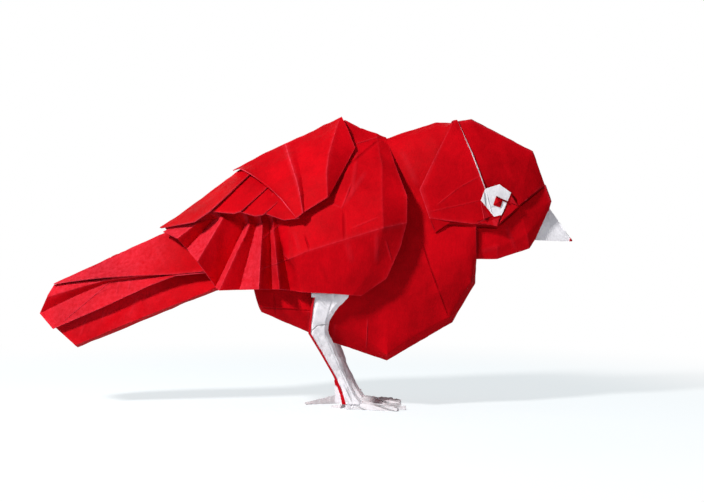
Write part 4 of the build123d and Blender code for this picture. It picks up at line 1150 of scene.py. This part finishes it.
class SONGBIRD_OT_stage(bpy.types.Operator):
    """Lay the floor and set the lamps and the camera"""

    bl_idname = "songbird.stage"
    bl_label = "Set the stage"

    def execute(self, context):
        scene = context.scene
        scene.view_settings.view_transform = "Standard"
        mesh = bpy.data.meshes.new("floor")
        square = ((-1, -1), (1, -1), (1, 1), (-1, 1))
        mesh.from_pydata([(x * FLOOR_REACH, y * FLOOR_REACH, 0) for x, y in square], [], [(0, 1, 2, 3)])
        material = bpy.data.materials.new("floor_card")
        material.use_nodes = True
        tree = material.node_tree
        shader = tree.nodes["Principled BSDF"]
        shader.inputs["Roughness"].default_value = 0.9
        shader.inputs["Specular IOR Level"].default_value = 0.1
        shader.inputs["Base Color"].default_value = tuple(scene.songbird_colours.floor) + (1.0,)
        dull = node(tree, "ShaderNodeBsdfDiffuse", -400, -300, {"Color": (0.31, 0.315, 0.32, 1)}).outputs[0]
        pale = node(tree, "ShaderNodeEmission", -400, -420,
                    {"Color": (0.915, 0.975, 1.0, 1), "Strength": 0.74}).outputs[0]
        card = node(tree, "ShaderNodeAddShader", -200, -340, {0: dull, 1: pale}).outputs[0]
        place = node(tree, "ShaderNodeTexCoord", -800, 300).outputs["Object"]
        far = node(tree, "ShaderNodeVectorMath", -620, 300, {0: place}, operation="LENGTH").outputs["Value"]
        fade = node(tree, "ShaderNodeMapRange", -440, 300, {0: far, 1: FLOOR_FADE[0], 2: FLOOR_FADE[1]},
                    interpolation_type="SMOOTHSTEP").outputs[0]
        glow = node(tree, "ShaderNodeEmission", -200, -200,
                    {"Color": (1, 1, 1, 1), "Strength": 1.0}).outputs[0]
        seen = node(tree, "ShaderNodeLightPath", -620, 600).outputs["Is Camera Ray"]
        shown = node(tree, "ShaderNodeMixShader", 0, 0, {0: fade, 1: card, 2: glow}).outputs[0]
        mixed = node(tree, "ShaderNodeMixShader", 200, 200,
                     {0: seen, 1: shader.outputs[0], 2: shown}).outputs[0]
        tree.links.new(mixed, tree.nodes["Material Output"].inputs["Surface"])
        mesh.materials.append(material)
        floor = bpy.data.objects.new("floor", mesh)
        scene.collection.objects.link(floor)

        world = bpy.data.worlds.new("studio")
        scene.world = world
        world.use_nodes = True
        tree = world.node_tree
        tree.nodes.clear()
        light = node(tree, "ShaderNodeBackground", 0, 0,
                     {"Color": (0.86, 0.93, 1.0, 1), "Strength": 0.11}).outputs[0]
        white = node(tree, "ShaderNodeBackground", 0, -200,
                     {"Color": (1, 1, 1, 1), "Strength": 1.0}).outputs[0]
        path = node(tree, "ShaderNodeLightPath", -200, 300)
        shown = math_node(tree, "MAXIMUM", -100, 300, path.outputs["Is Camera Ray"],
                          path.outputs["Is Glossy Ray"])
        shown = math_node(tree, "MAXIMUM", 40, 200, shown, path.outputs["Is Transmission Ray"])
        mixed = node(tree, "ShaderNodeMixShader", 200, 0, {0: shown, 1: light, 2: white}).outputs[0]
        output = node(tree, "ShaderNodeOutputWorld", 400, 0)
        tree.links.new(mixed, output.inputs["Surface"])

        for name, spot, size, power, colour in LAMPS:
            lamp = bpy.data.lights.new(name, "AREA")
            lamp.shape = "DISK"
            lamp.size = size
            lamp.energy = power
            lamp.color = colour
            holder = bpy.data.objects.new(name, lamp)
            holder.location = spot
            holder.rotation_euler = (Vector(LAMP_AIM) - Vector(spot)).to_track_quat("-Z", "Y").to_euler()
            scene.collection.objects.link(holder)

        camera = bpy.data.cameras.new("camera")
        camera.lens = 100.0
        camera.sensor_width = 36.0
        camera.clip_start = 0.01
        camera.dof.use_dof = False
        holder = bpy.data.objects.new("camera", camera)
        aim = Vector((VIEW_ALONG, 0.0, VIEW_HEIGHT))
        rise = math.radians(VIEW_RISE)
        holder.location = aim + VIEW_DISTANCE * Vector((0.0, -math.cos(rise), math.sin(rise)))
        holder.rotation_euler = (math.pi / 2 - rise, 0.0, 0.0)
        scene.collection.objects.link(holder)
        scene.camera = holder
        return {"FINISHED"}


OPERATORS = [
    SONGBIRD_OT_paper, SONGBIRD_OT_trunk, SONGBIRD_OT_wings, SONGBIRD_OT_feathers, SONGBIRD_OT_covert,
    SONGBIRD_OT_tail, SONGBIRD_OT_head, SONGBIRD_OT_eyes, SONGBIRD_OT_beak, SONGBIRD_OT_legs,
    SONGBIRD_OT_feet, SONGBIRD_OT_stage,
]


class SONGBIRD_PT_panel(bpy.types.Panel):
    """Sizes, colours and the folding steps"""

    bl_label = "Paper songbird"
    bl_space_type = "VIEW_3D"
    bl_region_type = "UI"
    bl_category = "Songbird"

    def draw(self, context):
        for group in (context.scene.songbird_sizes, context.scene.songbird_colours):
            for name in group.__annotations__:
                self.layout.prop(group, name)
        for step in OPERATORS:
            self.layout.operator(step.bl_idname)


CLASSES = [SongbirdSizes, SongbirdColours] + OPERATORS + [SONGBIRD_PT_panel]


def register():
    for each in CLASSES:
        bpy.utils.register_class(each)
    bpy.types.Scene.songbird_sizes = PointerProperty(type=SongbirdSizes)
    bpy.types.Scene.songbird_colours = PointerProperty(type=SongbirdColours)


def unregister():
    del bpy.types.Scene.songbird_colours
    del bpy.types.Scene.songbird_sizes
    for each in reversed(CLASSES):
        bpy.utils.unregister_class(each)


def main():
    register()
    for step in OPERATORS:
        getattr(bpy.ops.songbird, step.bl_idname.split(".")[1])()


if __name__ == "__main__":
    main()
